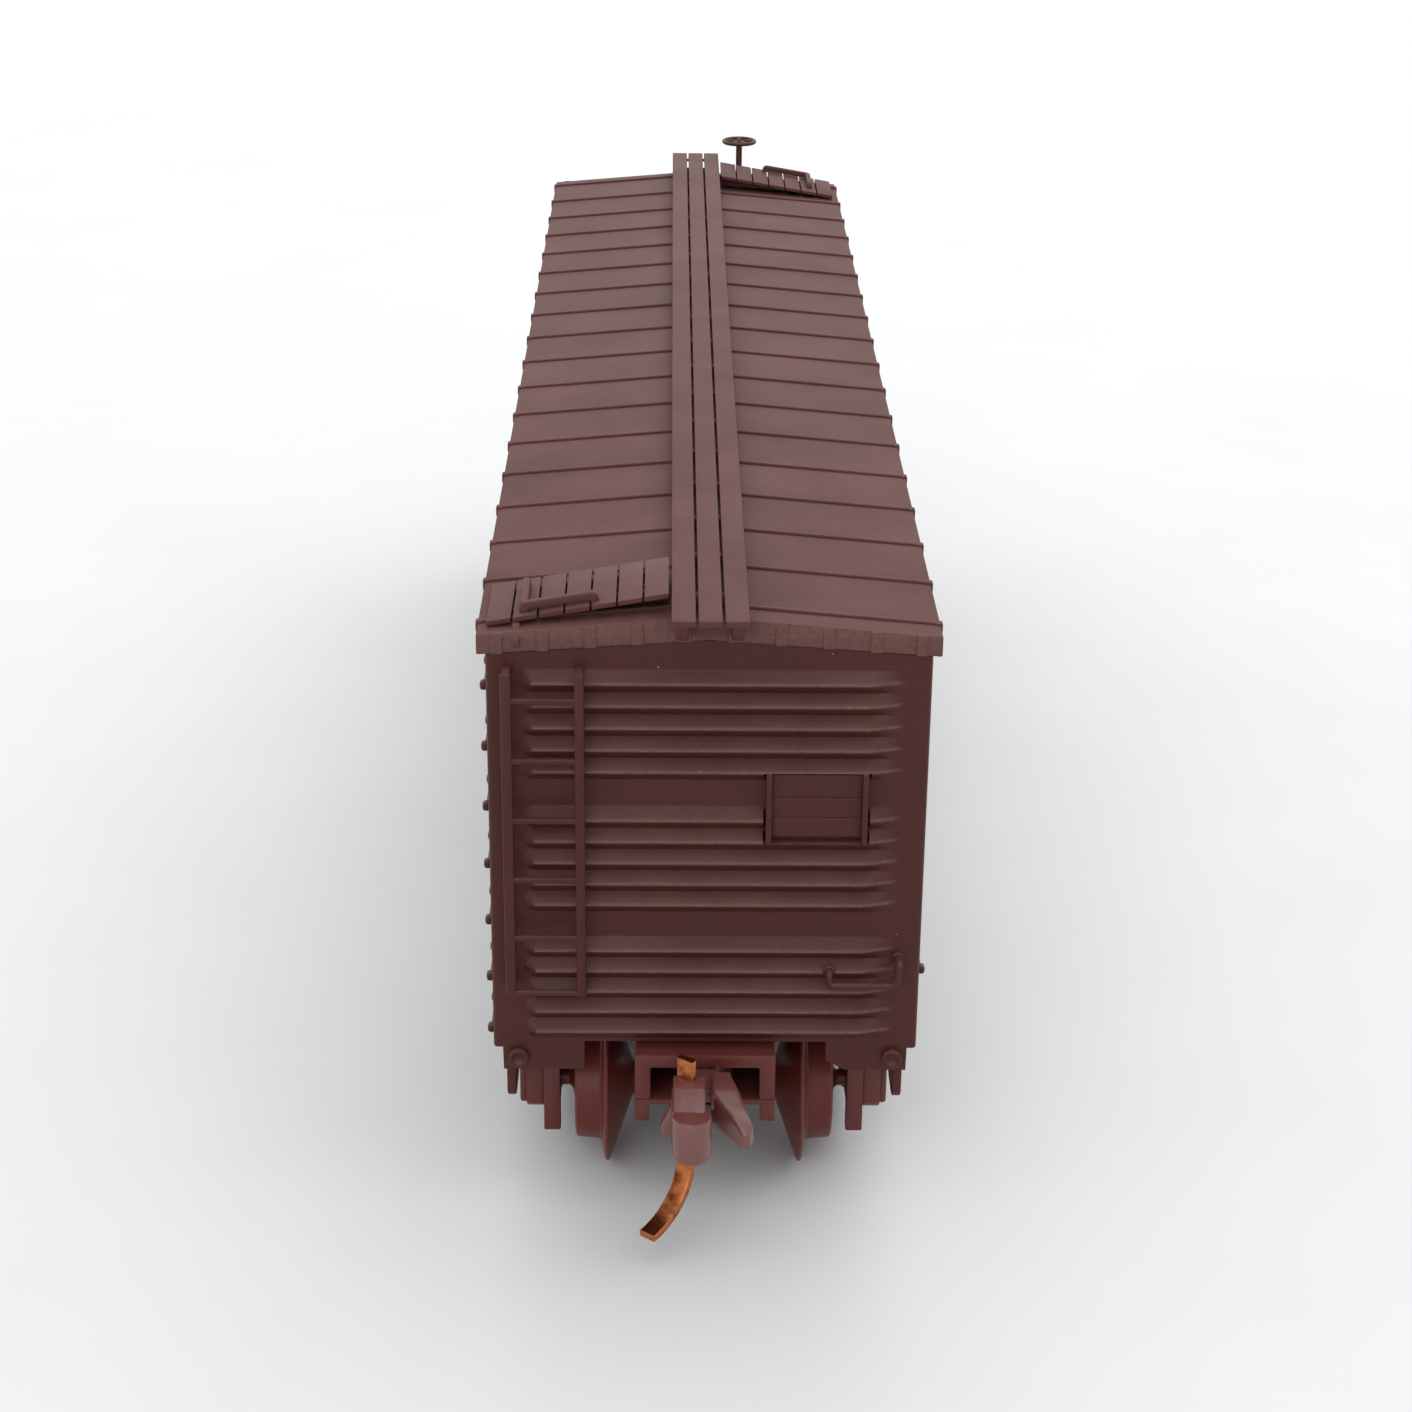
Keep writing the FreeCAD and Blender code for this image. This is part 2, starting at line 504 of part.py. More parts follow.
def shank(name, low, high, neck):
    """Flat tail of one coupler half: an eye about the post and a straight neck to the head."""
    y = -D["post_y"]
    eye_ring = rod(name + "_eye", (0, y, low), (0, y, high), 1.2)
    bar = box(name + "_bar", (-1.05, 1.05), (-42.2, y), (low, high))
    link = box(name + "_neck", neck, (-42.5, -42.1), (low, high))
    return [eye_ring, bar, link]


for end in "ab":
    turned = end == "b"
    post = (0, -D["post_y"])
    for half, outline, low, high, neck in (("knuckle", KNUCKLE, 5.36, 6.04, (-1.05, 0.02)),
                                           ("guard", GUARD, 6.1, 6.74, (0.2, 1.05))):
        name = "coupler_%s_%s" % (half, end)
        head = slab(name + "_head", "XY_Plane", outline, 5.17, 7.1)
        parts = [head] + shank(name, low, high, neck)
        tools = [rod(name + "_bore", (post[0], post[1], 5), (post[0], post[1], 7), "coupler_bore")]
        if half == "knuckle":
            hump = [(-43.5, 7.0), (-43.2, 7.6), (-42.5, 7.7), (-42.4, 7.0)]
            parts.append(slab(name + "_hump", "YZ_Plane", hump, -1.36, 0.0))
            tools.append(box(name + "_slot", (PIN_X - 0.4, PIN_X + 0.4), (-42.98, -42.62), (5, 8)))
        else:
            parts.append(box(name + "_root", (0.2, 1.05), (-42.35, -41.3), (low, 7.1)))
        keep(name, cut(name + "_cut", fuse(name + "_solid", parts), tools), turned)
    strip = box("pin_strip_" + end, (PIN_X - 0.4, PIN_X + 0.4), (-42.98, -42.62), (3.6, 8.55))
    bend = [(0, -42.8, 3.75), (-0.1, -42.95, 2.8), (-0.4, -43.5, 1.9), (-0.9, -44.2, 1.5), (-1.5, -45.0, 1.45)]
    tail = wire("pin_curve_" + end, [(PIN_X + x, y, z) for x, y, z in bend], 0.24)
    keep("trip_pin_" + end, fuse("trip_pin_whole_" + end, [strip] + tail), turned)

# ---------------------------------------------------------------- checks and export

doc.recompute()
for obj in doc.Objects:
    if "Invalid" in obj.State or "Error" in obj.State:
        raise RuntimeError("%s: %s" % (obj.Name, obj.State))
os.makedirs("parts", exist_ok=True)
for name, shape in nodes.items():
    if shape.Shape.isNull() or not shape.Shape.isValid() or shape.Shape.Volume < 1e-6:
        raise RuntimeError("bad shape: " + name)
    shape.Shape.exportStep("parts/%s.step" % name)
print(len(nodes), "nodes")
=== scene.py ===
import math

import bmesh
import bpy
import numpy as np
from mathutils import Matrix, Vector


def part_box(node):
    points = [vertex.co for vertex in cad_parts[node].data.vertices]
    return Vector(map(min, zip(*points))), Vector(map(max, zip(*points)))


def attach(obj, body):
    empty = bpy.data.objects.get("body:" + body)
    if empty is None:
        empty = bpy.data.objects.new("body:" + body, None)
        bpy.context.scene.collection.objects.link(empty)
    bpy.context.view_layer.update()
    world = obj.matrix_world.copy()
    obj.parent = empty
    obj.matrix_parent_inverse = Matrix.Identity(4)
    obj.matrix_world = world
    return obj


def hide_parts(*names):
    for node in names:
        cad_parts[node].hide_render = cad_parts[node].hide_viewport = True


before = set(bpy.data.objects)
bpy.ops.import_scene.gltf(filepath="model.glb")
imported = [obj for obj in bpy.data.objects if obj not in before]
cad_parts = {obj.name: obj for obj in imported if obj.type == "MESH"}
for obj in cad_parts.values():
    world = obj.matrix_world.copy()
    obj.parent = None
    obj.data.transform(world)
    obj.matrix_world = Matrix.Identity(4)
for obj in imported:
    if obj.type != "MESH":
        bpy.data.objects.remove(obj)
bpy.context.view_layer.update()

MM = 0.001
X_AXIS = (1.0, 0.0, 0.0)
Y_AXIS = (0.0, 1.0, 0.0)
Z_AXIS = (0.0, 0.0, 1.0)


# ------------------------------------------------------------------ surfaces

def span(node):
    """Lowest and highest corner of a frame node, in millimetres."""
    low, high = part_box(node)
    return np.array(low) / MM, np.array(high) / MM


def loft(rings, loop=False):
    """Skin over rings of equal count: quads join point j of ring i to ring i+1; a flat face shuts each end."""
    rings = np.asarray(rings, float)
    m, n = rings.shape[:2]
    i = np.arange(m if loop else m - 1)[:, None]
    j = np.arange(n)[None, :]
    nxt = (i + 1) % m
    quads = np.stack([i * n + j, i * n + (j + 1) % n, nxt * n + (j + 1) % n, nxt * n + j], -1)
    faces = quads.reshape(-1, 4).tolist()
    if not loop:
        faces += [list(range(n))[::-1], list(range((m - 1) * n, m * n))]
    return rings.reshape(-1, 3), faces


def join(parts):
    """One list of points and faces from many."""
    points, faces, base = [], [], 0
    for p, f in parts:
        points.append(p)
        faces += [[k + base for k in face] for face in f]
        base += len(p)
    return np.concatenate(points), faces


def turn(part):
    """The part set half round about Z: (x, y) becomes (-x, -y)."""
    points, faces = part
    return points * np.array([-1.0, -1.0, 1.0]), faces


def shear(part, x0, slope):
    """Raise each point by slope times its distance from x0."""
    points = part[0].copy()
    points[:, 2] += (points[:, 0] - x0) * slope
    return points, part[1]


def fillet(points, r, steps=4, closed=False):
    """Round each corner p by a parabola with ends a, b on its edges: (1-t)^2 a + 2t(1-t) p + t^2 b."""
    p = np.asarray(points, float)
    before, after = np.roll(p, 1, 0), np.roll(p, -1, 0)
    da, db = before - p, after - p
    la = np.linalg.norm(da, axis=1, keepdims=True)
    lb = np.linalg.norm(db, axis=1, keepdims=True)
    a = p + da / np.maximum(la, 1e-9) * np.minimum(r, la * 0.45)
    b = p + db / np.maximum(lb, 1e-9) * np.minimum(r, lb * 0.45)
    t = np.linspace(0, 1, steps + 1)[None, :, None]
    arcs = (1 - t) ** 2 * a[:, None] + 2 * t * (1 - t) * p[:, None] + t ** 2 * b[:, None]
    if closed:
        return arcs.reshape(-1, p.shape[1])
    return np.concatenate([p[:1], arcs[1:-1].reshape(-1, p.shape[1]), p[-1:]])


def inset(ring, amount):
    """Move a closed plane ring inwards by amount, square to the line through each point's neighbours."""
    tangent = np.roll(ring, -1, 0) - np.roll(ring, 1, 0)
    tangent /= np.maximum(np.linalg.norm(tangent, axis=1, keepdims=True), 1e-9)
    area = np.sum(ring[:, 0] * np.roll(ring[:, 1], -1) - ring[:, 1] * np.roll(ring[:, 0], -1))
    return ring + np.stack([-tangent[:, 1], tangent[:, 0]], 1) * amount * np.sign(area)


AXES = {"x": (1, 2, 0), "y": (0, 2, 1), "z": (0, 1, 2)}


def prism(outline, axis, low, high, r=0.05, corner=0.05, steps=3):
    """A plane outline carried along an axis, with rounded corners and quarter-round ends of radius r."""
    ring = fillet(outline, corner, steps, closed=True)
    angle = np.linspace(0, math.pi / 2, 3)
    back = r * (1 - np.sin(angle))
    rise = r * (1 - np.cos(angle))
    stations = np.concatenate([low + rise, (high - rise)[::-1]])
    insets = np.concatenate([back, back[::-1]])
    u, v, w = AXES[axis]
    rings = np.zeros((len(stations), len(ring), 3))
    for k, (at, amount) in enumerate(zip(stations, insets)):
        flat = inset(ring, amount)
        rings[k, :, u], rings[k, :, v], rings[k, :, w] = flat[:, 0], flat[:, 1], at
    return loft(rings)


def block(low, high, r=0.06, axis="z", steps=2):
    """A rectangular bar between two corners with every edge rounded by r."""
    u, v, w = AXES[axis]
    outline = [(low[u], low[v]), (high[u], low[v]), (high[u], high[v]), (low[u], high[v])]
    return prism(outline, axis, low[w], high[w], r, r, steps)


def sweep(path, profile, ref, loop=False):
    """A profile carried along a path of tangent t: its first axis is t x ref, its second that axis x t."""
    path = np.asarray(path, float)
    if loop:
        tangent = np.roll(path, -1, 0) - np.roll(path, 1, 0)
    else:
        tangent = np.gradient(path, axis=0)
    tangent /= np.linalg.norm(tangent, axis=1, keepdims=True)
    side = np.cross(tangent, np.asarray(ref, float))
    side /= np.linalg.norm(side, axis=1, keepdims=True)
    normal = np.cross(side, tangent)
    profile = np.asarray(profile, float)
    rings = path[:, None] + side[:, None] * profile[None, :, :1] + normal[:, None] * profile[None, :, 1:]
    return loft(rings, loop)


def circle(r, sides=12):
    """Points r (cos a, sin a) at equal steps of a."""
    angle = np.arange(sides) * 2 * math.pi / sides
    return np.stack([r * np.cos(angle), r * np.sin(angle)], 1)


def turned(parts, other_end):
    """The parts as drawn, or set half round about Z for the opposite end or side."""
    return [turn(part) for part in parts] if other_end else parts


def rounded(width, height, r, steps=3):
    """A rectangle about its own middle, each corner rounded by r."""
    w, h = width / 2, height / 2
    return fillet([(-w, -h), (w, -h), (w, h), (-w, h)], r, steps, closed=True)


def tube(points, r, bend=0.3, sides=12, ref=(0.31, 0.47, 0.83)):
    """A round wire along a path with eased bends."""
    return sweep(fillet(points, bend, 5), circle(r, sides), ref)


def lathe(profile, centre, axis="x", sides=48):
    """A profile of (radius, distance along the axis) turned a full circle; flat discs shut its ends."""
    u, v, w = AXES[axis]
    profile = np.asarray(profile, float)
    angle = np.arange(sides) * 2 * math.pi / sides
    rings = np.zeros((len(profile), sides, 3))
    rings[..., u] = profile[:, :1] * np.cos(angle) + centre[u]
    rings[..., v] = profile[:, :1] * np.sin(angle) + centre[v]
    rings[..., w] = profile[:, 1:] + centre[w]
    return loft(rings)


def piece(name, parts, body, material, nodes, sharp=32, painted_highlight_share=None):
    """Turn point and face lists into one object that rides on a body and stands for frame nodes.

    The last argument gives the leading points a share of painted highlight, kept as the mesh attribute that the
    finish reads.
    """
    points, faces = join(parts)
    mesh = bpy.data.meshes.new(name)
    mesh.from_pydata((points * MM).tolist(), [], faces)
    work = bmesh.new()
    work.from_mesh(mesh)
    bmesh.ops.recalc_face_normals(work, faces=work.faces)
    work.to_mesh(mesh)
    work.free()
    mesh.polygons.foreach_set("use_smooth", np.ones(len(mesh.polygons), bool))
    mesh.set_sharp_from_angle(angle=math.radians(sharp))
    if painted_highlight_share is not None:
        share = np.zeros(len(mesh.vertices))
        share[:len(painted_highlight_share)] = painted_highlight_share
        mesh.attributes.new("rub", "FLOAT", "POINT").data.foreach_set("value", share)
    obj = bpy.data.objects.new(name, mesh)
    bpy.context.scene.collection.objects.link(obj)
    mesh.materials.append(material)
    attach(obj, body)
    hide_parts(*nodes)
    return obj


# ------------------------------------------------------------------ finishes

SURFACE = [("Colour", "Color"), ("Roughness", "Float"), ("Normal", "Vector")]


def group(name, inputs, outputs):
    """An empty node group with named sockets."""
    tree = bpy.data.node_groups.new(name, "ShaderNodeTree")
    for direction, sockets in (("INPUT", inputs), ("OUTPUT", outputs)):
        for label, kind in sockets:
            tree.interface.new_socket(label, in_out=direction, socket_type="NodeSocket" + kind)
    return tree, tree.nodes.new("NodeGroupInput"), tree.nodes.new("NodeGroupOutput")


def node(tree, kind, links=None, **settings):
    """Add a node, set its properties, and link or set its inputs."""
    made = tree.nodes.new("ShaderNode" + kind)
    for key, value in settings.items():
        setattr(made, key, value)
    for key, value in (links or {}).items():
        if isinstance(value, bpy.types.NodeSocket):
            tree.links.new(value, made.inputs[key])
        else:
            made.inputs[key].default_value = value
    return made


def maths(tree, operation, a, b=0.0, c=0.0, clamp=False):
    """One Math node on up to three sockets or numbers."""
    return node(tree, "Math", {0: a, 1: b, 2: c}, operation=operation, use_clamp=clamp).outputs[0]


def ramp(tree, value, low, high, to_low=0.0, to_high=1.0):
    """A value carried in a straight line from the span low..high to the span to_low..to_high."""
    spans = {"Value": value, "From Min": low, "From Max": high, "To Min": to_low, "To Max": to_high}
    return node(tree, "MapRange", spans).outputs["Result"]


def blend_colour(tree, factor, a, b, kind="MIX"):
    """Mix or multiply two colours, each a socket or three numbers; 6 and 7 are the node's colour sockets."""
    mix = node(tree, "Mix", {0: factor}, data_type="RGBA", blend_type=kind)
    for index, value in ((6, a), (7, b)):
        if isinstance(value, bpy.types.NodeSocket):
            tree.links.new(value, mix.inputs[index])
        else:
            mix.inputs[index].default_value = (*value, 1.0)
    return mix.outputs[2]


def millimetres(tree):
    """Object coordinates counted in millimetres."""
    place = node(tree, "TexCoord").outputs["Object"]
    return node(tree, "Mapping", {"Vector": place, "Scale": (1000.0, 1000.0, 1000.0)}).outputs["Vector"]


def noise(tree, vector, scale, detail=4.0, rough=0.6):
    """Fractal noise between 0 and 1, scale to the millimetre."""
    made = node(tree, "TexNoise", {"Vector": vector, "Scale": scale, "Detail": detail, "Roughness": rough})
    return made.outputs["Fac"]


def give_surface(tree, result, skin, rough, height, strength):
    """Link colour, roughness and a bump of 0.03 mm to a group's outputs."""
    bump = node(tree, "Bump", {"Height": height, "Strength": strength, "Distance": 0.00003})
    for label, socket in (("Colour", skin), ("Roughness", rough), ("Normal", bump.outputs["Normal"])):
        tree.links.new(socket, result.inputs[label])


def build_moulded_group():
    """Moulded styrene: clouded, speckled pigment, dust on what faces up, a painted highlight in the dust colour
    where the mesh attribute asks for it, flecks, a satin skin.

    The pigment is multiplied by 1 + speckle (fine - 0.5) + 0.35 (clouds - 0.5), where both are noise.
    """
    tree, given, result = group(
        "moulded_plastic",
        [("Pigment", "Color"), ("Dust", "Color"), ("Dust Amount", "Float"), ("Speckle", "Float"),
         ("Gloss", "Float")],
        SURFACE)
    at = millimetres(tree)
    fine = noise(tree, at, 5.5, 5.0, 0.7)
    grain = noise(tree, at, 16.0, 3.0, 0.6)
    clouds = noise(tree, at, 0.22, 4.0, 0.55)
    facing = node(tree, "SeparateXYZ", {0: node(tree, "NewGeometry").outputs["Normal"]}).outputs["Z"]
    up = ramp(tree, facing, 0.1, 0.95)
    settled = maths(tree, "MULTIPLY", up, ramp(tree, clouds, 0.3, 0.75, 0.55, 1.25))
    settled = maths(tree, "MULTIPLY", settled, given.outputs["Dust Amount"], clamp=True)
    skin = blend_colour(tree, settled, given.outputs["Pigment"], given.outputs["Dust"])
    tone = maths(tree, "MULTIPLY_ADD", maths(tree, "SUBTRACT", fine, 0.5), given.outputs["Speckle"], 1.0)
    tone = maths(tree, "MULTIPLY_ADD", maths(tree, "SUBTRACT", clouds, 0.5), 0.35, tone)
    grey = node(tree, "CombineColor", {0: tone, 1: tone, 2: tone}).outputs[0]
    skin = blend_colour(tree, 1.0, skin, grey, "MULTIPLY")
    cells = node(tree, "TexVoronoi", {"Vector": at, "Scale": 0.62, "Randomness": 1.0})
    dot = ramp(tree, cells.outputs["Distance"], 0.034, 0.018)
    chance = node(tree, "SeparateColor", {0: cells.outputs["Color"]}).outputs[0]
    # Painted highlight: the mesh attribute's share, broken up by fine noise, mixes the dust colour into the
    # skin.
    rub = node(tree, "Attribute", attribute_name="rub").outputs["Fac"]
    rub = maths(tree, "MULTIPLY", rub, ramp(tree, fine, 0.25, 0.7, 0.35, 1.0))
    skin = blend_colour(tree, rub, skin, given.outputs["Dust"])
    fleck = maths(tree, "MULTIPLY", dot, maths(tree, "GREATER_THAN", chance, 0.66))
    skin = blend_colour(tree, maths(tree, "MULTIPLY", fleck, 0.4, clamp=True), skin, (0.42, 0.36, 0.32))
    rough = maths(tree, "MULTIPLY_ADD", maths(tree, "SUBTRACT", fine, 0.5), 0.22, given.outputs["Gloss"])
    rough = maths(tree, "MULTIPLY_ADD", settled, 0.12, rough)
    height = maths(tree, "MULTIPLY_ADD", grain, 0.4, fine)
    give_surface(tree, result, skin, rough, height, 0.28)
    return tree


def build_metal_group():
    """Drawn or rolled metal: streaks along one axis, tarnish patches and a fine scratched skin."""
    tree, given, result = group(
        "worked_metal", [("Metal", "Color"), ("Tarnish", "Color"), ("Tarnish Amount", "Float"),
                         ("Streak", "Vector"), ("Gloss", "Float")],
        SURFACE)
    at = millimetres(tree)
    stretch = node(tree, "VectorMath", {0: at, 1: given.outputs["Streak"]}, operation="MULTIPLY")
    along = stretch.outputs[0]
    lines = noise(tree, along, 3.0, 5.0, 0.65)
    patches = noise(tree, at, 1.3, 5.0, 0.6)
    stained = maths(tree, "MULTIPLY", ramp(tree, patches, 0.48, 0.68), given.outputs["Tarnish Amount"])
    skin = blend_colour(tree, stained, given.outputs["Metal"], given.outputs["Tarnish"])
    rough = maths(tree, "MULTIPLY_ADD", lines, 0.3, given.outputs["Gloss"])
    rough = maths(tree, "MULTIPLY_ADD", stained, 0.25, rough)
    give_surface(tree, result, skin, rough, lines, 0.35)
    return tree


def finish_material(name, tree, settings, metallic=0.0, specular=0.5):
    """A material whose own shader takes its colour, roughness and normal from a shared group."""
    material = bpy.data.materials.new(name)
    material.use_nodes = True
    nodes = material.node_tree
    shader = nodes.nodes["Principled BSDF"]
    shader.inputs["Metallic"].default_value = metallic
    shader.inputs["Specular IOR Level"].default_value = specular
    placed = nodes.nodes.new("ShaderNodeGroup")
    placed.node_tree = tree
    for label, value in settings.items():
        placed.inputs[label].default_value = value
    for label, socket in (("Colour", "Base Color"), ("Roughness", "Roughness"), ("Normal", "Normal")):
        nodes.links.new(placed.outputs[label], shader.inputs[socket])
    return material


MOULDED = build_moulded_group()
METAL = build_metal_group()


# Colour of settled dust, also used as the colour of the painted highlight on rib crests and fascia.
DUST_AND_HIGHLIGHT = (0.42, 0.28, 0.24, 1.0)


def plastic(name, pigment, dust_amount, speckle, gloss, specular):
    """A moulded and dusted finish from its pigment."""
    settings = {"Pigment": (*pigment, 1.0), "Dust": DUST_AND_HIGHLIGHT, "Dust Amount": dust_amount, "Speckle": speckle,
                "Gloss": gloss}
    return finish_material(name, MOULDED, settings, specular=specular)


def worked_metal(name, metal, tarnish, stained, streak, gloss):
    """A metal finish from its clean and tarnished colours."""
    settings = {"Metal": (*metal, 1.0), "Tarnish": (*tarnish, 1.0), "Tarnish Amount": stained, "Streak": streak,
                "Gloss": gloss}
    return finish_material(name, METAL, settings, metallic=1.0)


body_paint = plastic("body_mineral_brown", (0.058, 0.0120, 0.0085), 0.13, 0.60, 0.46, 0.26)
# The roof's pigment is a lighter, greyer copy of the body's plastic: painted light from above and painted roof
# sheen.
roof_paint_lit_copy = plastic("roof_brown_lit_copy", (0.094, 0.0355, 0.0315), 0.075, 0.60, 0.64, 0.16)
under_paint = plastic("underframe_brown", (0.030, 0.009, 0.007), 0.05, 0.45, 0.55, 0.2)
truck_paint = plastic("truck_red_brown", (0.105, 0.0215, 0.016), 0.035, 0.40, 0.36, 0.36)
wheel_paint = plastic("wheel_red_brown", (0.110, 0.018, 0.013), 0.01, 0.25, 0.36, 0.28)
coupler_paint = plastic("coupler_red_brown", (0.145, 0.044, 0.038), 0.03, 0.35, 0.24, 0.75)
bronze = worked_metal("trip_pin_bronze", (0.50, 0.165, 0.055), (0.13, 0.032, 0.012), 1.0, (4.0, 0.7, 0.5), 0.10)
steel = worked_metal("weight_plate_steel", (0.40, 0.39, 0.38), (0.12, 0.09, 0.07), 0.5, (2.0, 0.15, 2.0), 0.30)
spring_wire = worked_metal("coupler_spring_wire", (0.62, 0.56, 0.48), (0.2, 0.15, 0.1), 0.3, (2.0, 2.0, 2.0),
                           0.22)


# ------------------------------------------------------------------ ends and sides

RIB_PITCH = 0.94
RIB_STANDS = 0.45
RIB_HALF = 0.47
CRESTS = np.concatenate([lowest + RIB_PITCH * np.arange(5) for lowest in (8.275, 14.125, 20.005)])
CREST_LEFT, CREST_RIGHT, RIB_RUN_OUT = -6.9, 7.7, 1.4
END_FACE = -39.8
SHEET_FOOT, FLAP_INNER, FLAP_OUTER = 7.3, 5.0, 8.35
LUMBER_X, LUMBER_Z = (2.2, 6.47), (16.9, 20.0)


def end_sheet(lumber):
    """Pressed sheet with three groups of five ribs, and each point's share of painted highlight along the rib
    crests.

    At (x, z) a rib stands out by 0.45 mm times a rounded tooth of its distance w from the crest line. Past the
    left end of the crest w grows with the distance from it, which rounds the rib off; towards the right end the
    height falls in a straight ramp.
    """
    half, back = span("end_a")[1][:2]
    x = np.unique(np.round(np.concatenate([
        np.linspace(-half, -half + 0.2, 6), [-8.36, -8.34, -7.6], np.linspace(-7.5, -6.8, 19), [-5.01, -4.99],
        np.linspace(-4.5, 4.5, 14), [4.99, 5.01, 5.8, 2.2, 2.3, 6.37, 6.47], np.linspace(6.1, 7.75, 17),
        [8.34, 8.36], np.linspace(half - 0.2, half, 6)]), 4))
    t = np.clip((np.abs(x) - (half - 0.2)) / 0.2, 0, 1)
    corner = 0.2 * (1 - np.sqrt(1 - t ** 2))
    foot = np.where(np.abs(x) < FLAP_INNER, 7.58, np.where(np.abs(x) > FLAP_OUTER, SHEET_FOOT, 6.25))
    foot = np.where((x >= FLAP_INNER) & (x < 5.8), 6.7 - (x - FLAP_INNER) * 0.55, foot)
    head = 25.5 - np.abs(x) * 0.0754
    grid = np.linspace(7.64, 24.8, 330)
    rows = np.concatenate([[foot, foot + 0.03], np.repeat(grid[:, None], len(x), 1), [head]])
    across = np.min(np.abs(rows[:, :, None] - CRESTS), axis=2) / RIB_HALF
    w = np.hypot(across, np.clip((CREST_LEFT - x) / 0.52, 0, None))
    blunt = 0.08
    wave = np.clip((math.hypot(1, blunt) - np.hypot(w, blunt)) / (math.hypot(1, blunt) - blunt), 0, 1)
    ramp_down = np.clip((CREST_RIGHT - x) / RIB_RUN_OUT, 0, 1)
    stand = RIB_STANDS * wave * ramp_down
    # Painted highlight along each rib crest: full on the crest line, gone at 0.24 of the half width, faded
    # where the rib ramps down, and kept off the lumber door's seat.
    rub = np.clip(1 - w / 0.24, 0, 1) * np.clip(ramp_down * 4, 0, 1) * 0.26
    if lumber:
        seat = np.clip((x - LUMBER_X[0]) / 0.1, 0, 1) * np.clip((LUMBER_X[1] - x) / 0.1, 0, 1)
        seat = seat * ((rows > LUMBER_Z[0]) & (rows < LUMBER_Z[1]))
        stand *= 1 - seat
        rub *= 1 - seat
    y = END_FACE - stand + corner
    y[0] += 0.05
    front = np.stack([np.broadcast_to(x, rows.shape), y, rows], -1)
    knee = np.maximum(foot, SHEET_FOOT)
    tail = [(back, head), (back, knee), (-39.2, knee), (-39.2, foot)]
    behind = np.stack([np.stack([x, np.full_like(x, at), z], -1) for at, z in tail])
    rub = np.concatenate([rub, np.zeros((len(tail), len(x)))])
    return loft(np.concatenate([front, behind]).transpose(1, 0, 2)), rub.T.ravel()


def poling_pocket(x):
    """A shallow dished button on the flap of the end sheet, turned about the car's length."""
    button = [(0.40, 0.0), (0.43, -0.06), (0.43, -0.26), (0.39, -0.30), (0.28, -0.30), (0.20, -0.22),
              (0.05, -0.18)]
    return lathe(button, (x, END_FACE, 6.9), "y", 24)


def boards(y0, y1, z0, z1, face, back, pitch, deep, margin):
    """Vertical boards: an outer line that dips by a V at every joint, carried up between plain margins."""
    count = max(int((y1 - y0) / pitch), 1)
    joints = np.linspace(y0, y1, count + 1)[1:-1]
    y = np.concatenate([[y0], (joints[:, None] + np.array([-0.06, 0.0, 0.06])).ravel(), [y1]])
    dip = np.zeros_like(y)
    dip[2:-1:3] = deep
    levels = [z0, z0 + margin, z0 + margin + 0.02, z1 - margin - 0.02, z1 - margin, z1]
    share = [0, 0, 1, 1, 0, 0]
    rings = []
    for z, part in zip(levels, share):
        outer = np.stack([face - dip * part, y, np.full_like(y, z)], 1)
        inner = np.array([[back, y1, z], [back, y0, z]])
        rings.append(np.concatenate([outer, inner]))
    return loft(rings)


DOORWAY = 5.7


def side_wall():
    """The wall in four lots about the doorway, with a plain sill and a plain top strip."""
    low, high = span("side_right")
    face, back = high[0], low[0]
    boarded, plain = (0.885, 0.1, 0.45), (50, 0, 0.2)
    parts = [boards(low[1], -DOORWAY, low[2], high[2], face, back, *boarded),
             boards(DOORWAY, high[1], low[2], high[2], face, back, *boarded),
             boards(-DOORWAY, DOORWAY, 23.3, high[2], face, back, *plain),
             boards(-DOORWAY, DOORWAY, low[2], 8.7, face, back, *plain)]
    for y in (low[1] + 0.06, -DOORWAY - 0.25, DOORWAY + 0.25, high[1] - 0.06):
        post = (face - 0.3, y - 0.11, low[2] + 0.02), (face + 0.03, y + 0.11, high[2] - 0.02)
        parts.append(block(*post, 0.02))
    return parts


def door_leaf():
    """Boarded leaf inside a frame of stiles and rails, with a bent grip and two hanger plates."""
    low, high = span("door_right")
    face, frame_face = low[0] + 0.13, low[0] + 0.2
    y0, y1, z0, z1 = low[1], high[1], low[2], high[2]
    parts = [boards(y0 + 0.05, y1 - 0.05, z0 + 0.05, z1 - 0.05, face, low[0], 0.7, 0.05, 0.1)]
    for y in (y0, y1 - 0.5):
        parts.append(block((face - 0.06, y, z0), (frame_face, y + 0.5, z1), 0.03))
    for z in (z0, 15.7, z1 - 0.6):
        parts.append(block((face - 0.06, y0 + 0.45, z), (frame_face - 0.01, y1 - 0.45, z + 0.6), 0.03, "y"))
    grip, proud = y0 + 0.88, frame_face + 0.01
    parts.append(block((face - 0.03, grip - 0.22, 13.0), (face + 0.04, grip + 0.22, 14.8), 0.02))
    handle = [(face, grip, 14.6), (proud, grip, 14.6), (proud, grip, 13.2), (face, grip, 13.2)]
    parts.append(tube(handle, 0.05, 0.1, 10))
    for y in (y0 + 2.2, y1 - 2.2):
        parts.append(block((face - 0.03, y - 0.35, z1 - 1.5), (frame_face - 0.03, y + 0.35, z1 - 0.05), 0.02))
    return parts


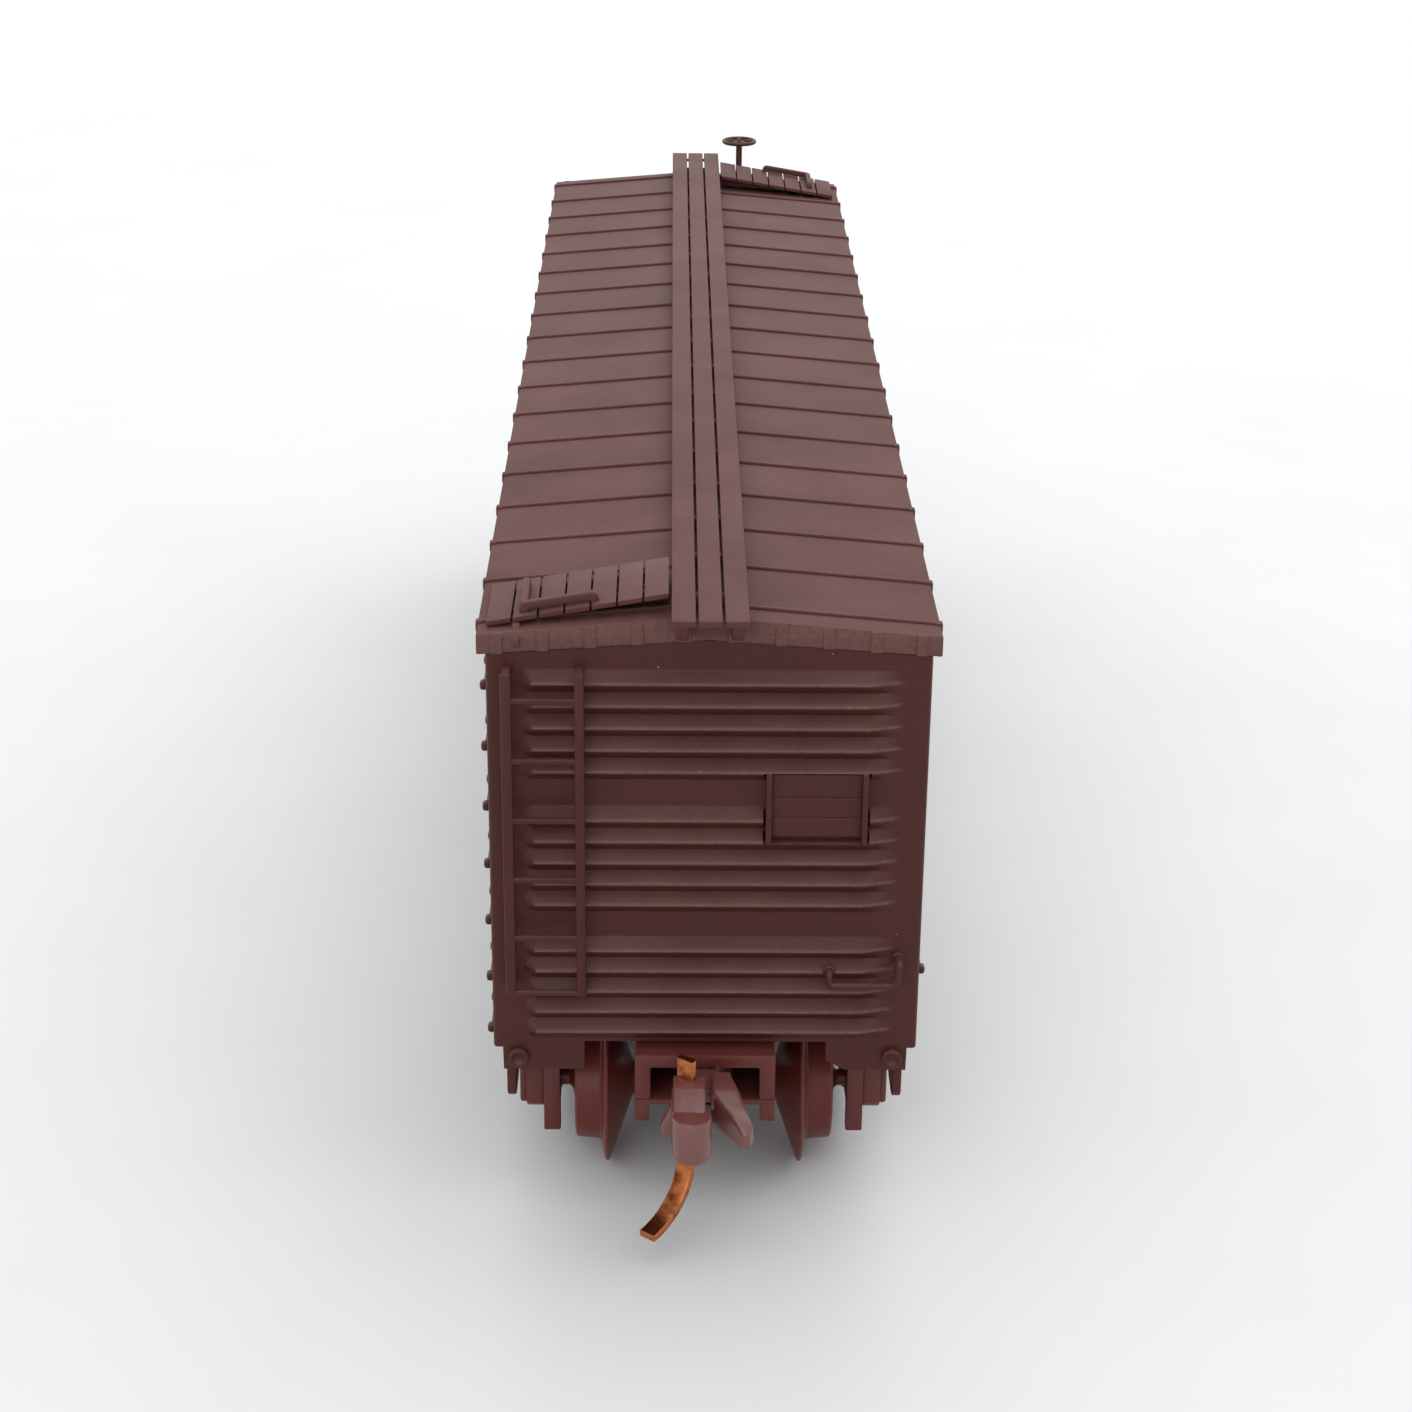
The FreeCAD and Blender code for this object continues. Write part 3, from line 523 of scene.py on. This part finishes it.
def door_tracks():
    """An angle bar above the leaf and one below it, each with a thin lip and a row of brackets."""
    low, high = span("door_tracks_right")
    x0, x1 = low[0], high[0]
    lip = x1 - 0.06
    head = [(x0, 23.75), (lip, 23.75), (lip, 23.5), (x1, 23.5), (x1, 24.15), (x0, 24.15)]
    sill = [(x0, 8.0), (x1, 8.0), (x1, 8.6), (lip, 8.6), (lip, 8.35), (x0, 8.35)]
    parts = [prism(outline, "y", low[1], high[1], 0.02, 0.02) for outline in (head, sill)]
    for y in np.arange(low[1] + 0.8, high[1], 3.75):
        for z0, z1 in ((24.1, 24.42), (7.72, 8.03)):
            parts.append(block((x0 - 0.05, y - 0.15, z0), (x1 - 0.08, y + 0.15, z1), 0.03))
    return parts


def lumber_door():
    """Three boards between two upright rails, with dark joints."""
    low, high = span("lumber_door")
    x0, x1, z0, z1, face = low[0], high[0], low[2], high[2], low[1]
    parts = [block((x, face, z0), (x + 0.24, high[1] + 0.1, z1), 0.05) for x in (x0, x1 - 0.24)]
    for a, b in ((17.19, 18.0), (18.05, 18.88), (18.93, 19.87)):
        parts.append(block((x0 + 0.2, face + 0.2, a - 0.02), (x1 - 0.2, high[1] + 0.1, b + 0.02), 0.045, "x"))
    return parts


for side in ("right", "left"):
    for stem, make, body in (("side", side_wall, "car_body"), ("door", door_leaf, "sliding_door_" + side),
                             ("door_tracks", door_tracks, "car_body")):
        stands_for = stem + "_" + side
        parts = turned(make(), side == "left")
        piece(stands_for + "_drawn", parts, body, body_paint, [stands_for])
for end in ("a", "b"):
    sheet, rub = end_sheet(end == "a")
    parts = turned([sheet, poling_pocket(-7.73), poling_pocket(7.73)], end == "b")
    piece("pressed_end_" + end, parts, "car_body", body_paint, ["end_" + end], 40, rub)
piece("lumber_door_boards", lumber_door(), "car_body", body_paint, ["lumber_door"])


# ------------------------------------------------------------------ roof and walkways

RIBS = (np.arange(18) - 8.5) * 4.54
ROOF_HALF = 9.08
# Share of painted highlight given to the fascia.
FASCIA_HIGHLIGHT = 0.12


def roof_sheet():
    """Low gable prism, a square seam carried over it at each rib with a drip at its ends, and fascia tabs."""
    half, end = ROOF_HALF, span("roof")[1][1]
    outline = [(-half, 24.86), (0, 25.52), (half, 24.86), (half, 25.71), (0, 26.5), (-half, 25.71)]
    parts = [prism(outline, "y", -end, end, 0.06, 0.07)]
    ridge = fillet([(-9.03, 0, 25.40), (-9.03, 0, 25.71), (-4.5, 0, 26.115), (0, 0, 26.51), (4.5, 0, 26.115),
                    (9.03, 0, 25.71), (9.03, 0, 25.40)], 0.14, 5)
    for y in RIBS:
        parts.append(sweep(ridge + np.array([0, y, 0]), rounded(0.24, 0.24, 0.1), Y_AXIS))
        for s in (-1, 1):
            parts.append(block((s * 9.01 - 0.15, y - 0.19, 25.34), (s * 9.01 + 0.15, y + 0.19, 25.83), 0.08))
    for s in (-1, 1):
        for x in (-8.3, -6.5, -4.65, -2.8, -0.95, 0.95, 2.8, 4.65, 6.5, 8.3):
            z = 25.53 - abs(x) * 0.0727
            tab = (x - 0.24, s * end - 0.06, z - 0.02), (x + 0.24, s * end + 0.05, z + 0.86)
            parts.append(block(*tab, 0.045))
    return parts


def running_board():
    """Three long planks on cross saddles, with two struts under each overhang."""
    half, (end, top) = 1.49, span("running_board")[1][1:]
    bottom = top - 0.27
    parts = [block((x0, -end + 0.02, bottom), (x1, end - 0.02, top), 0.05, "y")
             for x0, x1 in ((-half, -0.56), (-0.46, 0.46), (0.56, half))]
    saddle = [(-1.35, bottom + 0.03), (-1.35, 26.50), (0, 26.62), (1.35, 26.50), (1.35, bottom + 0.03)]
    for y in RIBS:
        parts.append(prism(saddle, "y", y - 0.25, y + 0.25, 0.04, 0.04))
    for s in (-1, 1):
        strut = [(s * 41.75, bottom + 0.04), (s * 41.2, bottom + 0.04), (s * 40.6, 26.3), (s * 39.85, 26.15),
                 (s * 39.85, 25.72), (s * 40.45, 25.70), (s * 41.2, 26.2)]
        for x in (-1.07, 1.07):
            parts.append(prism(strut, "x", x - 0.24, x + 0.24, 0.08, 0.18))
        y = s * 41.5
        parts.append(block((-1.3, y - 0.12, bottom - 0.12), (1.3, y + 0.12, bottom + 0.02), 0.04, "x"))
    return parts


BOARD_OUTER, BOARD_SLOPE = -8.7, 1.23 / 7.17


def board_top(x):
    """Height of the lateral board's upper face, a straight climb from its outer edge."""
    return 26.02 + (x - BOARD_OUTER) * BOARD_SLOPE


def lateral_board():
    """Seven short planks on two wedge rests, climbing towards the running board, and a brace to the fascia."""
    parts = []
    for i in range(7):
        x0 = BOARD_OUTER + i * 1.0252
        flat = block((x0, -39.3, board_top(x0) - 0.22), (x0 + 0.955, -35.15, board_top(x0)), 0.045, "y")
        parts.append(shear(flat, x0, BOARD_SLOPE))
    rest = [(-8.6, board_top(-8.6) - 0.2), (-1.6, board_top(-1.6) - 0.2), (-1.6, 26.5), (-8.6, 25.9)]
    for y in (-38.0, -35.9):
        parts.append(prism(rest, "y", y - 0.2, y + 0.2, 0.03, 0.02))
    brace = [(-39.25, 26.0), (-39.25, 25.75), (-39.9, 25.2), (-40.05, 25.25), (-40.0, 25.55), (-39.5, 26.0)]
    parts.append(prism(brace, "x", -7.68, -7.38, 0.05, 0.08))
    return parts


def roof_grab():
    """Corner iron over the lateral board: a square bar along the car and one across it, on three feet."""
    rise, y = 0.24, -38.8
    corner, inner = -7.25, -4.5
    low_bar, high_bar = board_top(corner) + rise, board_top(inner) + rise
    bar = rounded(0.34, 0.32, 0.09)
    along = [(corner, -36.1, low_bar - rise), (corner, -36.1, low_bar), (corner, y, low_bar),
             (corner, y, low_bar - rise)]
    across = [(corner, y, low_bar), (inner, y, high_bar), (inner, y, high_bar - rise)]
    return [sweep(fillet(along, 0.16, 5), bar, X_AXIS), sweep(fillet(across, 0.16, 5), bar, Y_AXIS)]


# ------------------------------------------------------------------ ladders, irons and steps

END_RUNGS = (23.21, 20.65, 18.07, 15.45, 12.84, 10.32)
SIDE_RUNGS = (23.26, 20.63, 18.0, 15.43, 12.87, 10.27, 7.84)


def end_ladder():
    """Two flat stiles, each on two feet, and rungs of rounded square section between them."""
    low, high = span("end_ladder_a")
    parts = []
    for x0, x1 in ((-8.14, -7.71), (-5.26, -4.87)):
        parts.append(block((x0, low[1], low[2]), (x1, low[1] + 0.3, high[2]), 0.08))
        for z in (10.62, 24.22):
            foot = (x0 + 0.04, low[1] + 0.2, z - 0.17), (x1 - 0.04, high[1] + 0.1, z + 0.17)
            parts.append(block(*foot, 0.06, "y"))
    for z in END_RUNGS:
        rung = [(x, -40.6, z) for x in (-7.9, -6.5, -5.1)]
        parts.append(sweep(rung, rounded(0.26, 0.24, 0.09), Z_AXIS))
    return parts


def side_iron(z, s=-1):
    """Moulded grab iron: a low bar close against the side between two knobs."""
    near, far = sorted((s * 8.70, s * 8.88))
    parts = [block((near, -39.2, z - 0.12), (far, -36.3, z + 0.12), 0.07, "y")]
    near, far = sorted((s * 8.70, s * 9.02))
    for y in (-39.05, -36.45):
        parts.append(block((near, y - 0.2, z - 0.19), (far, y + 0.2, z + 0.19), 0.12, "x"))
    return parts


def side_ladder():
    """One iron at each rung height."""
    return [p for z in SIDE_RUNGS for p in side_iron(z)]


def end_grab():
    """Low iron at the corner: the bar runs level, then rises to its outer foot."""
    path = [(5.0, -40.2, 11.2), (5.0, -40.55, 11.2), (5.0, -40.55, 10.65), (7.7, -40.55, 10.65),
            (7.85, -40.55, 11.58), (7.85, -39.75, 11.58)]
    parts = [tube(path, 0.15, 0.26, 12)]
    for x, face, z in ((5.0, -40.25, 11.2), (7.85, -39.8, 11.58)):
        parts.append(lathe([(0.25, 0.02), (0.25, -0.06), (0.19, -0.11)], (x, face, z), "y", 16))
    return parts


def corner_steps():
    """A flat strap bent into a stirrup under each corner."""
    parts = []
    for x, y in ((8.08, -37.9), (-8.08, -37.9), (8.08, 37.9), (-8.08, 37.9)):
        strap = [(x, y - 1.03, 7.32), (x, y - 1.03, 4.54), (x, y + 1.03, 4.54), (x, y + 1.03, 7.32)]
        parts.append(sweep(fillet(strap, 0.4, 6), rounded(0.28, 0.38, 0.08), X_AXIS))
    return parts


for end, ladder_side, grab_side in (("a", "left", "right"), ("b", "right", "left")):
    jobs = [("lateral_board_", lateral_board(), end, roof_paint_lit_copy, "roof_brown"),
            ("roof_grab_", roof_grab(), end, roof_paint_lit_copy, "roof_brown"),
            ("end_ladder_", end_ladder(), end, body_paint, "body_brown"),
            ("end_grab_", end_grab(), end, body_paint, "body_brown"),
            ("side_ladder_", side_ladder(), ladder_side, body_paint, "body_brown"),
            ("side_grab_", side_iron(10.67, 1), grab_side, body_paint, "body_brown")]
    for stem, parts, place, paint, slot in jobs:
        piece(stem + "drawn_" + end, turned(parts, end == "b"), "car_body", paint, [stem + place])
roof_parts = roof_sheet()
# The fascia points get a flat share of painted highlight, which lightens them towards the dust colour.
fascia_highlight = FASCIA_HIGHLIGHT * (np.abs(join(roof_parts)[0][:, 1]) > 39.85)
piece("roof_ribbed", roof_parts, "car_body", roof_paint_lit_copy, ["roof"], painted_highlight_share=fascia_highlight)
piece("running_board_planks", running_board(), "car_body", roof_paint_lit_copy, ["running_board"])
piece("corner_step_straps", corner_steps(), "car_body", body_paint, ["corner_steps"])


# ------------------------------------------------------------------ hand brake

def brake_wheel():
    """Rim swept round a circle of 1 mm radius, five spokes bowed up by a half sine, and a hub with a nut."""
    low, high = span("brake_wheel")
    x, y = (low[0] + high[0]) / 2, 40.95
    angle = np.linspace(0, 2 * math.pi, 41)[:-1]
    rim = np.stack([x + np.cos(angle), y + np.sin(angle), np.full_like(angle, 28.24)], 1)
    parts = [sweep(rim, circle(0.125, 10), Z_AXIS, loop=True)]
    for i in range(5):
        a = math.radians(90 + 72 * i)
        out = np.linspace(0.15, 0.97, 7)
        bow = 28.20 + 0.04 * np.sin(out * math.pi)
        path = np.stack([x + out * math.cos(a), y + out * math.sin(a), bow], 1)
        parts.append(sweep(path, circle(0.085, 8), Z_AXIS))
    hub = [(0.26, 28.07), (0.3, 28.12), (0.3, 28.26), (0.22, 28.30), (0.14, 28.31), (0.14, 28.40)]
    parts.append(lathe(hub, (x, y, 0), "z", 20))
    return parts


def brake_staff():
    """Round staff turned about its own line, with a collar above the step."""
    low, high = span("brake_staff")
    x, y = (low[0] + high[0]) / 2, (low[1] + high[1]) / 2
    profile = [(0.16, low[2]), (0.2, low[2] + 0.05), (0.2, 11.6), (0.25, 11.65), (0.25, 11.9), (0.2, 11.95),
               (0.2, high[2] - 0.05), (0.18, high[2])]
    return [lathe(profile, (x, y, 0), "z", 20)]


piece("brake_wheel_spoked", brake_wheel(), "hand_brake", body_paint, ["brake_wheel"])
piece("brake_staff_rod", brake_staff(), "hand_brake", body_paint, ["brake_staff"])


# ------------------------------------------------------------------ trucks

CENTRE, AXLE_OUT, AXLE_HIGH, POST = -30.6, 5.3, 3.6, -38.8
CASTING_OUT = 6.5
POCKET = CENTRE - 10.0, CENTRE - 3.8


def side_casting(s):
    """One side: arched top and sagging bottom members, two columns, coil nest, pedestals and journal boxes."""
    x = s * CASTING_OUT
    web = rounded(0.62, 0.72, 0.12)
    top = [(x, -6.1, 4.35), (x, -5.3, 4.82), (x, -3.0, 5.2), (x, -1.6, 5.92), (x, 1.6, 5.92), (x, 3.0, 5.2),
           (x, 5.3, 4.82), (x, 6.1, 4.35)]
    low = [(x, -6.1, 3.05), (x, -4.5, 2.95), (x, -2.3, 1.65), (x, 2.3, 1.65), (x, 4.5, 2.95), (x, 6.1, 3.05)]
    parts = [sweep(fillet(member, 0.7, 5) + np.array([0, CENTRE, 0]), web, X_AXIS) for member in (top, low)]
    for v in (-1.62, 1.62):
        y = CENTRE + v
        parts.append(block((x - 0.34, y - 0.27, 1.6), (x + 0.34, y + 0.27, 5.9), 0.07))
    parts.append(block((x - 0.38, CENTRE - 1.5, 4.55), (x + 0.38, CENTRE + 1.5, 5.5), 0.08, "y"))
    parts.append(block((x - 0.36, CENTRE - 1.55, 1.32), (x + 0.42, CENTRE + 1.55, 2.2), 0.08, "y"))
    for v in (-0.85, 0.0, 0.85):
        turns = np.linspace(0, 5.5 * 2 * math.pi, 67)
        climb = np.linspace(2.15, 4.6, len(turns))
        coil = np.stack([x + 0.27 * np.cos(turns), CENTRE + v + 0.27 * np.sin(turns), climb], 1)
        parts.append(sweep(coil, circle(0.1, 7), Z_AXIS))
        parts.append(lathe([(0.2, 2.1), (0.2, 4.65)], (x, CENTRE + v, 0), "z", 10))
    for sign in (-1, 1):
        y = CENTRE + sign * AXLE_OUT
        leg = y + sign * 0.74
        parts.append(block((x - 0.36, leg - 0.28, 1.52), (x + 0.36, leg + 0.28, 4.6), 0.08))
        parts.append(block((x - 0.34, y - 0.8, 2.72), (x + 0.34, y + 0.8, 4.75), 0.1, "x"))
        near, far = sorted((s * 6.75, s * 7.62))
        box_shape = [(y - 0.8, 2.75), (y - 0.5, 2.45), (y + 0.5, 2.45), (y + 0.8, 2.75), (y + 0.8, 4.6),
                     (y + 0.5, 4.85), (y - 0.5, 4.85), (y - 0.8, 4.6)]
        parts.append(prism(box_shape, "x", near, far, 0.1, 0.14))
        near, far = sorted((s * 7.5, s * 7.9))
        lid = [(y - 0.55, 2.62), (y + 0.55, 2.62), (y + 0.55, 4.2), (y + 0.28, 4.5), (y - 0.28, 4.5),
               (y - 0.55, 4.2)]
        parts.append(prism(lid, "x", near, far, 0.12, 0.16))
        parts.append(lathe([(0.09, -0.42), (0.09, 0.42)], (s * 7.68, y, 4.55), "y", 10))
    return parts


def truck_frame():
    """Two side castings, the bolster with its centre boss, the tongue and the open-fronted coupler pocket."""
    parts = side_casting(1) + side_casting(-1)
    bolster = [(-6.3, 4.62), (6.3, 4.62), (6.3, 5.6), (2.6, 6.0), (-2.6, 6.0), (-6.3, 5.6)]
    parts.append(prism(bolster, "y", CENTRE - 1.28, CENTRE + 1.28, 0.1, 0.1))
    parts.append(lathe([(1.5, 5.9), (1.5, 6.52), (1.42, 6.6), (1.0, 6.6), (0.95, 6.55), (0.95, 4.7)],
                       (0, CENTRE, 0), "z", 40))
    parts.append(block((-1.8, CENTRE - 4.2, 5.3), (1.8, CENTRE - 1.2, 6.3), 0.1, "y"))
    y0, y1 = POCKET
    shell = [(-2.9, 5.3), (-2.25, 5.3), (-2.25, 6.8), (2.25, 6.8), (2.25, 5.3), (2.9, 5.3), (2.9, 7.4),
             (-2.9, 7.4)]
    parts.append(prism(shell, "y", y0, y1, 0.05, 0.08))
    parts.append(block((-2.3, y1 - 0.6, 5.3), (2.3, y1 - 0.02, 6.95), 0.06, "x"))
    parts.append(lathe([(0.5, 5.3), (0.5, 6.9)], (0, POST, 0), "z", 24))
    return parts


def pocket_lid():
    """Flat lid under the pocket with two lugs at its mouth."""
    y0, y1 = POCKET
    parts = [block((-2.9, y0, 5.05), (2.9, y1, 5.29), 0.05, "y")]
    for s in (-1, 1):
        near, far = sorted((s * 2.3, s * 2.9))
        parts.append(block((near, y0 + 0.02, 4.25), (far, y0 + 0.7, 5.12), 0.07))
    return parts


# Half axle and one wheel as (radius, distance from the middle): journal, hub, dish, rim, tread, flange, back.
WHEEL = [(0.35, 6.6), (0.35, 5.78), (0.45, 5.66), (0.62, 5.6), (0.86, 5.5), (0.98, 5.36), (1.05, 5.2),
         (1.5, 5.12), (1.9, 5.18), (2.05, 5.30), (2.14, 5.44), (2.24, 5.47), (2.42, 5.47), (2.5, 5.44),
         (2.55, 5.38), (2.62, 4.6), (2.66, 4.42), (2.74, 4.34), (3.1, 4.28), (3.46, 4.22), (3.56, 4.17),
         (3.6, 4.11), (3.58, 4.05), (3.46, 4.0), (2.2, 3.55), (1.0, 3.13), (0.8, 3.05), (0.72, 2.95)]


def wheelset(along):
    """Axle and wheels turned from one mirrored profile, 72 steps round."""
    profile = WHEEL + [(0.7, 2.0), (0.66, 0.0), (0.7, -2.0)] + [(r, -h) for r, h in reversed(WHEEL)]
    return [lathe(profile, (0, CENTRE + along, AXLE_HIGH), "x", 72)]


# ------------------------------------------------------------------ couplers

def shank(low, high, neck):
    """Eye about the post, a straight flat bar, and a narrower neck on one side of it."""
    angle = np.linspace(-0.42 * math.pi, 1.42 * math.pi, 25)
    eye = np.stack([1.2 * np.cos(angle), POST + 1.2 * np.sin(angle)], 1)
    outline = [tuple(p) for p in eye] + [(-1.05, -42.2), (1.05, -42.2)]
    return [prism(outline, "z", low, high, 0.06, 0.05),
            block((neck[0], -42.7, low), (neck[1], -42.1, high), 0.05)]


def knuckle_half():
    """Rounded front column, sloping shoulder with a wing, and the hump that holds the trip pin."""
    around = np.arange(28) * 2 * math.pi / 28
    column = np.array([-0.565, -44.7]) + 0.79 * np.stack([np.cos(around), np.sin(around)], 1)
    parts = [prism(column, "z", 5.17, 7.08, 0.1, 0.02, 1)]
    shoulder = [(-1.36, -42.4), (-1.42, -43.4), (-1.36, -44.6), (-0.3, -44.6), (-0.35, -43.5), (0.02, -43.1),
                (0.02, -42.4)]
    parts.append(prism(shoulder, "z", 5.2, 7.1, 0.1, 0.15, 3))
    crown = [(-44.9, 6.9), (-44.5, 7.1), (-43.4, 7.62), (-42.6, 7.7), (-42.42, 7.5), (-42.42, 6.9)]
    parts.append(prism(crown, "x", -1.32, -0.02, 0.12, 0.15, 3))
    wing = [(-1.3, 5.5), (-1.82, 5.55), (-1.8, 5.9), (-1.3, 7.0)]
    parts.append(prism(wing, "y", -43.75, -43.15, 0.06, 0.08, 3))
    return parts + shank(5.36, 6.04, (-1.05, 0.02))


def guard_half():
    """Guard arm: rounded sections whose four edges are broken lines along the car and close in at the tip."""
    y = np.array([-41.33, -41.6, -41.9, -42.2, -42.46, -42.56, -42.9, -43.2, -43.5, -43.8, -44.0, -44.12])
    inner = np.interp(-y, [42.6, 44.12], [0.24, 1.5])
    outer = np.interp(-y, [41.33, 42.3, 43.8, 44.12], [1.05, 1.32, 1.92, 1.78])
    top = np.interp(-y, [41.33, 42.3, 43.6, 44.12], [7.05, 6.95, 6.3, 5.75])
    bottom = np.interp(-y, [42.46, 42.56, 44.12], [6.08, 5.2, 5.17])
    section = rounded(1, 1, 0.2, 4)
    rings = np.zeros((len(y), len(section), 3))
    rings[..., 0] = ((inner + outer) / 2)[:, None] + section[None, :, 0] * (outer - inner)[:, None]
    rings[..., 1] = y[:, None]
    rings[..., 2] = ((top + bottom) / 2)[:, None] + section[None, :, 1] * (top - bottom)[:, None]
    return [loft(rings)] + shank(6.1, 6.74, (0.2, 1.05))


PIN_X = span("trip_pin_a")[1][0] - 0.4
PIN_Y, PIN_TOP, PIN_BEND = -42.8, 8.55, 3.8
PIN_REACH, PIN_DROP, PIN_SWEEP = 2.55, 2.35, 0.47 * math.pi


def trip_pin():
    """Flat strip: straight through the head, then an arc that reaches out as 1 - cos a and drops as sin a."""
    angle = np.linspace(0, 1, 18)[1:] * PIN_SWEEP
    lean = np.array([-0.61, -0.79, 0.0])
    reach = PIN_REACH * (1 - np.cos(angle)) / (1 - math.cos(PIN_SWEEP))
    drop = PIN_DROP * np.sin(angle) / math.sin(PIN_SWEEP)
    bend = np.array([PIN_X, PIN_Y, PIN_BEND]) + lean * reach[:, None] - np.array(Z_AXIS) * drop[:, None]
    straight = np.stack([np.full(6, PIN_X), np.full(6, PIN_Y), np.linspace(PIN_TOP, PIN_BEND, 6)], 1)
    wide = np.cross(lean, Z_AXIS)
    return [sweep(np.concatenate([straight, bend]), rounded(0.32, 0.78, 0.07), wide)]


TRUCK_JOBS = [("truck_frame_%s", truck_frame(), "truck_%s", "truck_brown", truck_paint, 35),
              ("coupler_lid_%s", pocket_lid(), "truck_%s", "truck_brown", truck_paint, 35),
              ("wheelset_%s_outer", wheelset(-AXLE_OUT), "axle_%s_outer", "truck_brown", wheel_paint, 30),
              ("wheelset_%s_inner", wheelset(AXLE_OUT), "axle_%s_inner", "truck_brown", wheel_paint, 30),
              ("coupler_knuckle_%s", knuckle_half(), "knuckle_half_%s", "truck_brown", coupler_paint, 35),
              ("coupler_guard_%s", guard_half(), "guard_half_%s", "truck_brown", coupler_paint, 35),
              ("trip_pin_%s", trip_pin(), "knuckle_half_%s", "pin_bronze", bronze, 40)]
for end in ("a", "b"):
    for stem, parts, body, slot, paint, sharp in TRUCK_JOBS:
        name = stem % end
        piece("drawn_" + name, turned(parts, end == "b"), body % end, paint, [name], sharp)


# ------------------------------------------------------------------ frame nodes that stay

KEPT = {"underframe": under_paint, "ballast_plate": steel,
        "bolster_pin_a": truck_paint, "bolster_pin_b": truck_paint,
        "coupler_spring_a": spring_wire, "coupler_spring_b": spring_wire,
        "brake_step": body_paint, "brake_eye_bracket": body_paint, "brake_heel_bracket": body_paint}
for name, paint in KEPT.items():
    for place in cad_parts[name].material_slots:
        place.material = paint


# ------------------------------------------------------------------ stage, light and camera

def pale_material(name, colour):
    """A matt pale finish, clouded by three parts in a hundred either way."""
    material = bpy.data.materials.new(name)
    material.use_nodes = True
    tree = material.node_tree
    shader = tree.nodes["Principled BSDF"]
    grain = noise(tree, millimetres(tree), 0.05, 3.0)
    tint = ramp(tree, grain, 0.2, 0.8, 0.97, 1.03)
    grey = node(tree, "CombineColor", {0: tint, 1: tint, 2: tint}).outputs[0]
    tree.links.new(blend_colour(tree, 1.0, colour, grey, "MULTIPLY"), shader.inputs["Base Color"])
    shader.inputs["Roughness"].default_value = 0.6
    return material


def aimed(right, upward, back):
    """A rotation whose columns are the three directions given."""
    return Matrix(np.stack([right, upward, back], 1).tolist()).to_4x4()


def lamp(name, place, aim, size, power):
    """A rectangular area lamp that looks from place to aim and isn't itself seen."""
    data = bpy.data.lights.new(name, "AREA")
    data.shape = "RECTANGLE"
    data.size, data.size_y = size
    data.energy = power
    obj = bpy.data.objects.new(name, data)
    obj.visible_camera = False
    back = np.array(place, float) - np.array(aim, float)
    back /= np.linalg.norm(back)
    side = np.cross((0.0, 1.0, 0.001), back)
    side /= np.linalg.norm(side)
    obj.matrix_world = Matrix.Translation(place) @ aimed(side, np.cross(back, side), back)
    bpy.context.scene.collection.objects.link(obj)


reach = 4.0
corners = [(-reach, -reach, 0), (reach, -reach, 0), (reach, reach, 0), (-reach, reach, 0)]
floor_mesh = bpy.data.meshes.new("floor")
floor_mesh.from_pydata(corners, [], [(0, 1, 2, 3)])
floor_mesh.materials.append(pale_material("pale_floor", (0.70, 0.70, 0.69)))
floor = bpy.data.objects.new("floor", floor_mesh)
bpy.context.scene.collection.objects.link(floor)

lamp("overhead_soft", (0.14, 0.06, 0.45), (0.02, 0, 0.01), (0.55, 0.6), 0.9)
lamp("back_soft", (0.0, 0.60, 0.42), (0, 0.48, 0.0), (1.4, 0.4), 2.6)
lamp("front_fill", (-0.15, -0.40, 0.22), (0, 0, 0.01), (0.4, 0.3), 0.42)
world = bpy.data.worlds.new("studio")
world.use_nodes = True
sky = world.node_tree.nodes["Background"]
sky.inputs["Color"].default_value = (0.95, 0.97, 1.0, 1.0)
sky.inputs["Strength"].default_value = 0.90
bpy.context.scene.world = world
bpy.context.scene.view_settings.view_transform = "Standard"

# The camera looks along the car from its A end, down by the pitch and a little askew.
CAMERA_PLACE = (-0.001593, -0.139388, 0.065384)
yaw, pitch, roll = (math.radians(v) for v in (0.849, 23.194, 0.628))
forward = np.array([math.sin(yaw) * math.cos(pitch), math.cos(yaw) * math.cos(pitch), -math.sin(pitch)])
level = np.array([math.cos(yaw), -math.sin(yaw), 0.0])
upright = np.cross(level, forward)
camera_right = math.cos(roll) * level + math.sin(roll) * upright
camera_up = -math.sin(roll) * level + math.cos(roll) * upright
camera_data = bpy.data.cameras.new("camera")
camera_data.sensor_width = 36.0
camera_data.lens = 70.43
camera_data.clip_start = 0.005
camera = bpy.data.objects.new("camera", camera_data)
camera.matrix_world = Matrix.Translation(CAMERA_PLACE) @ aimed(camera_right, camera_up, -forward)
bpy.context.scene.collection.objects.link(camera)
bpy.context.scene.camera = camera
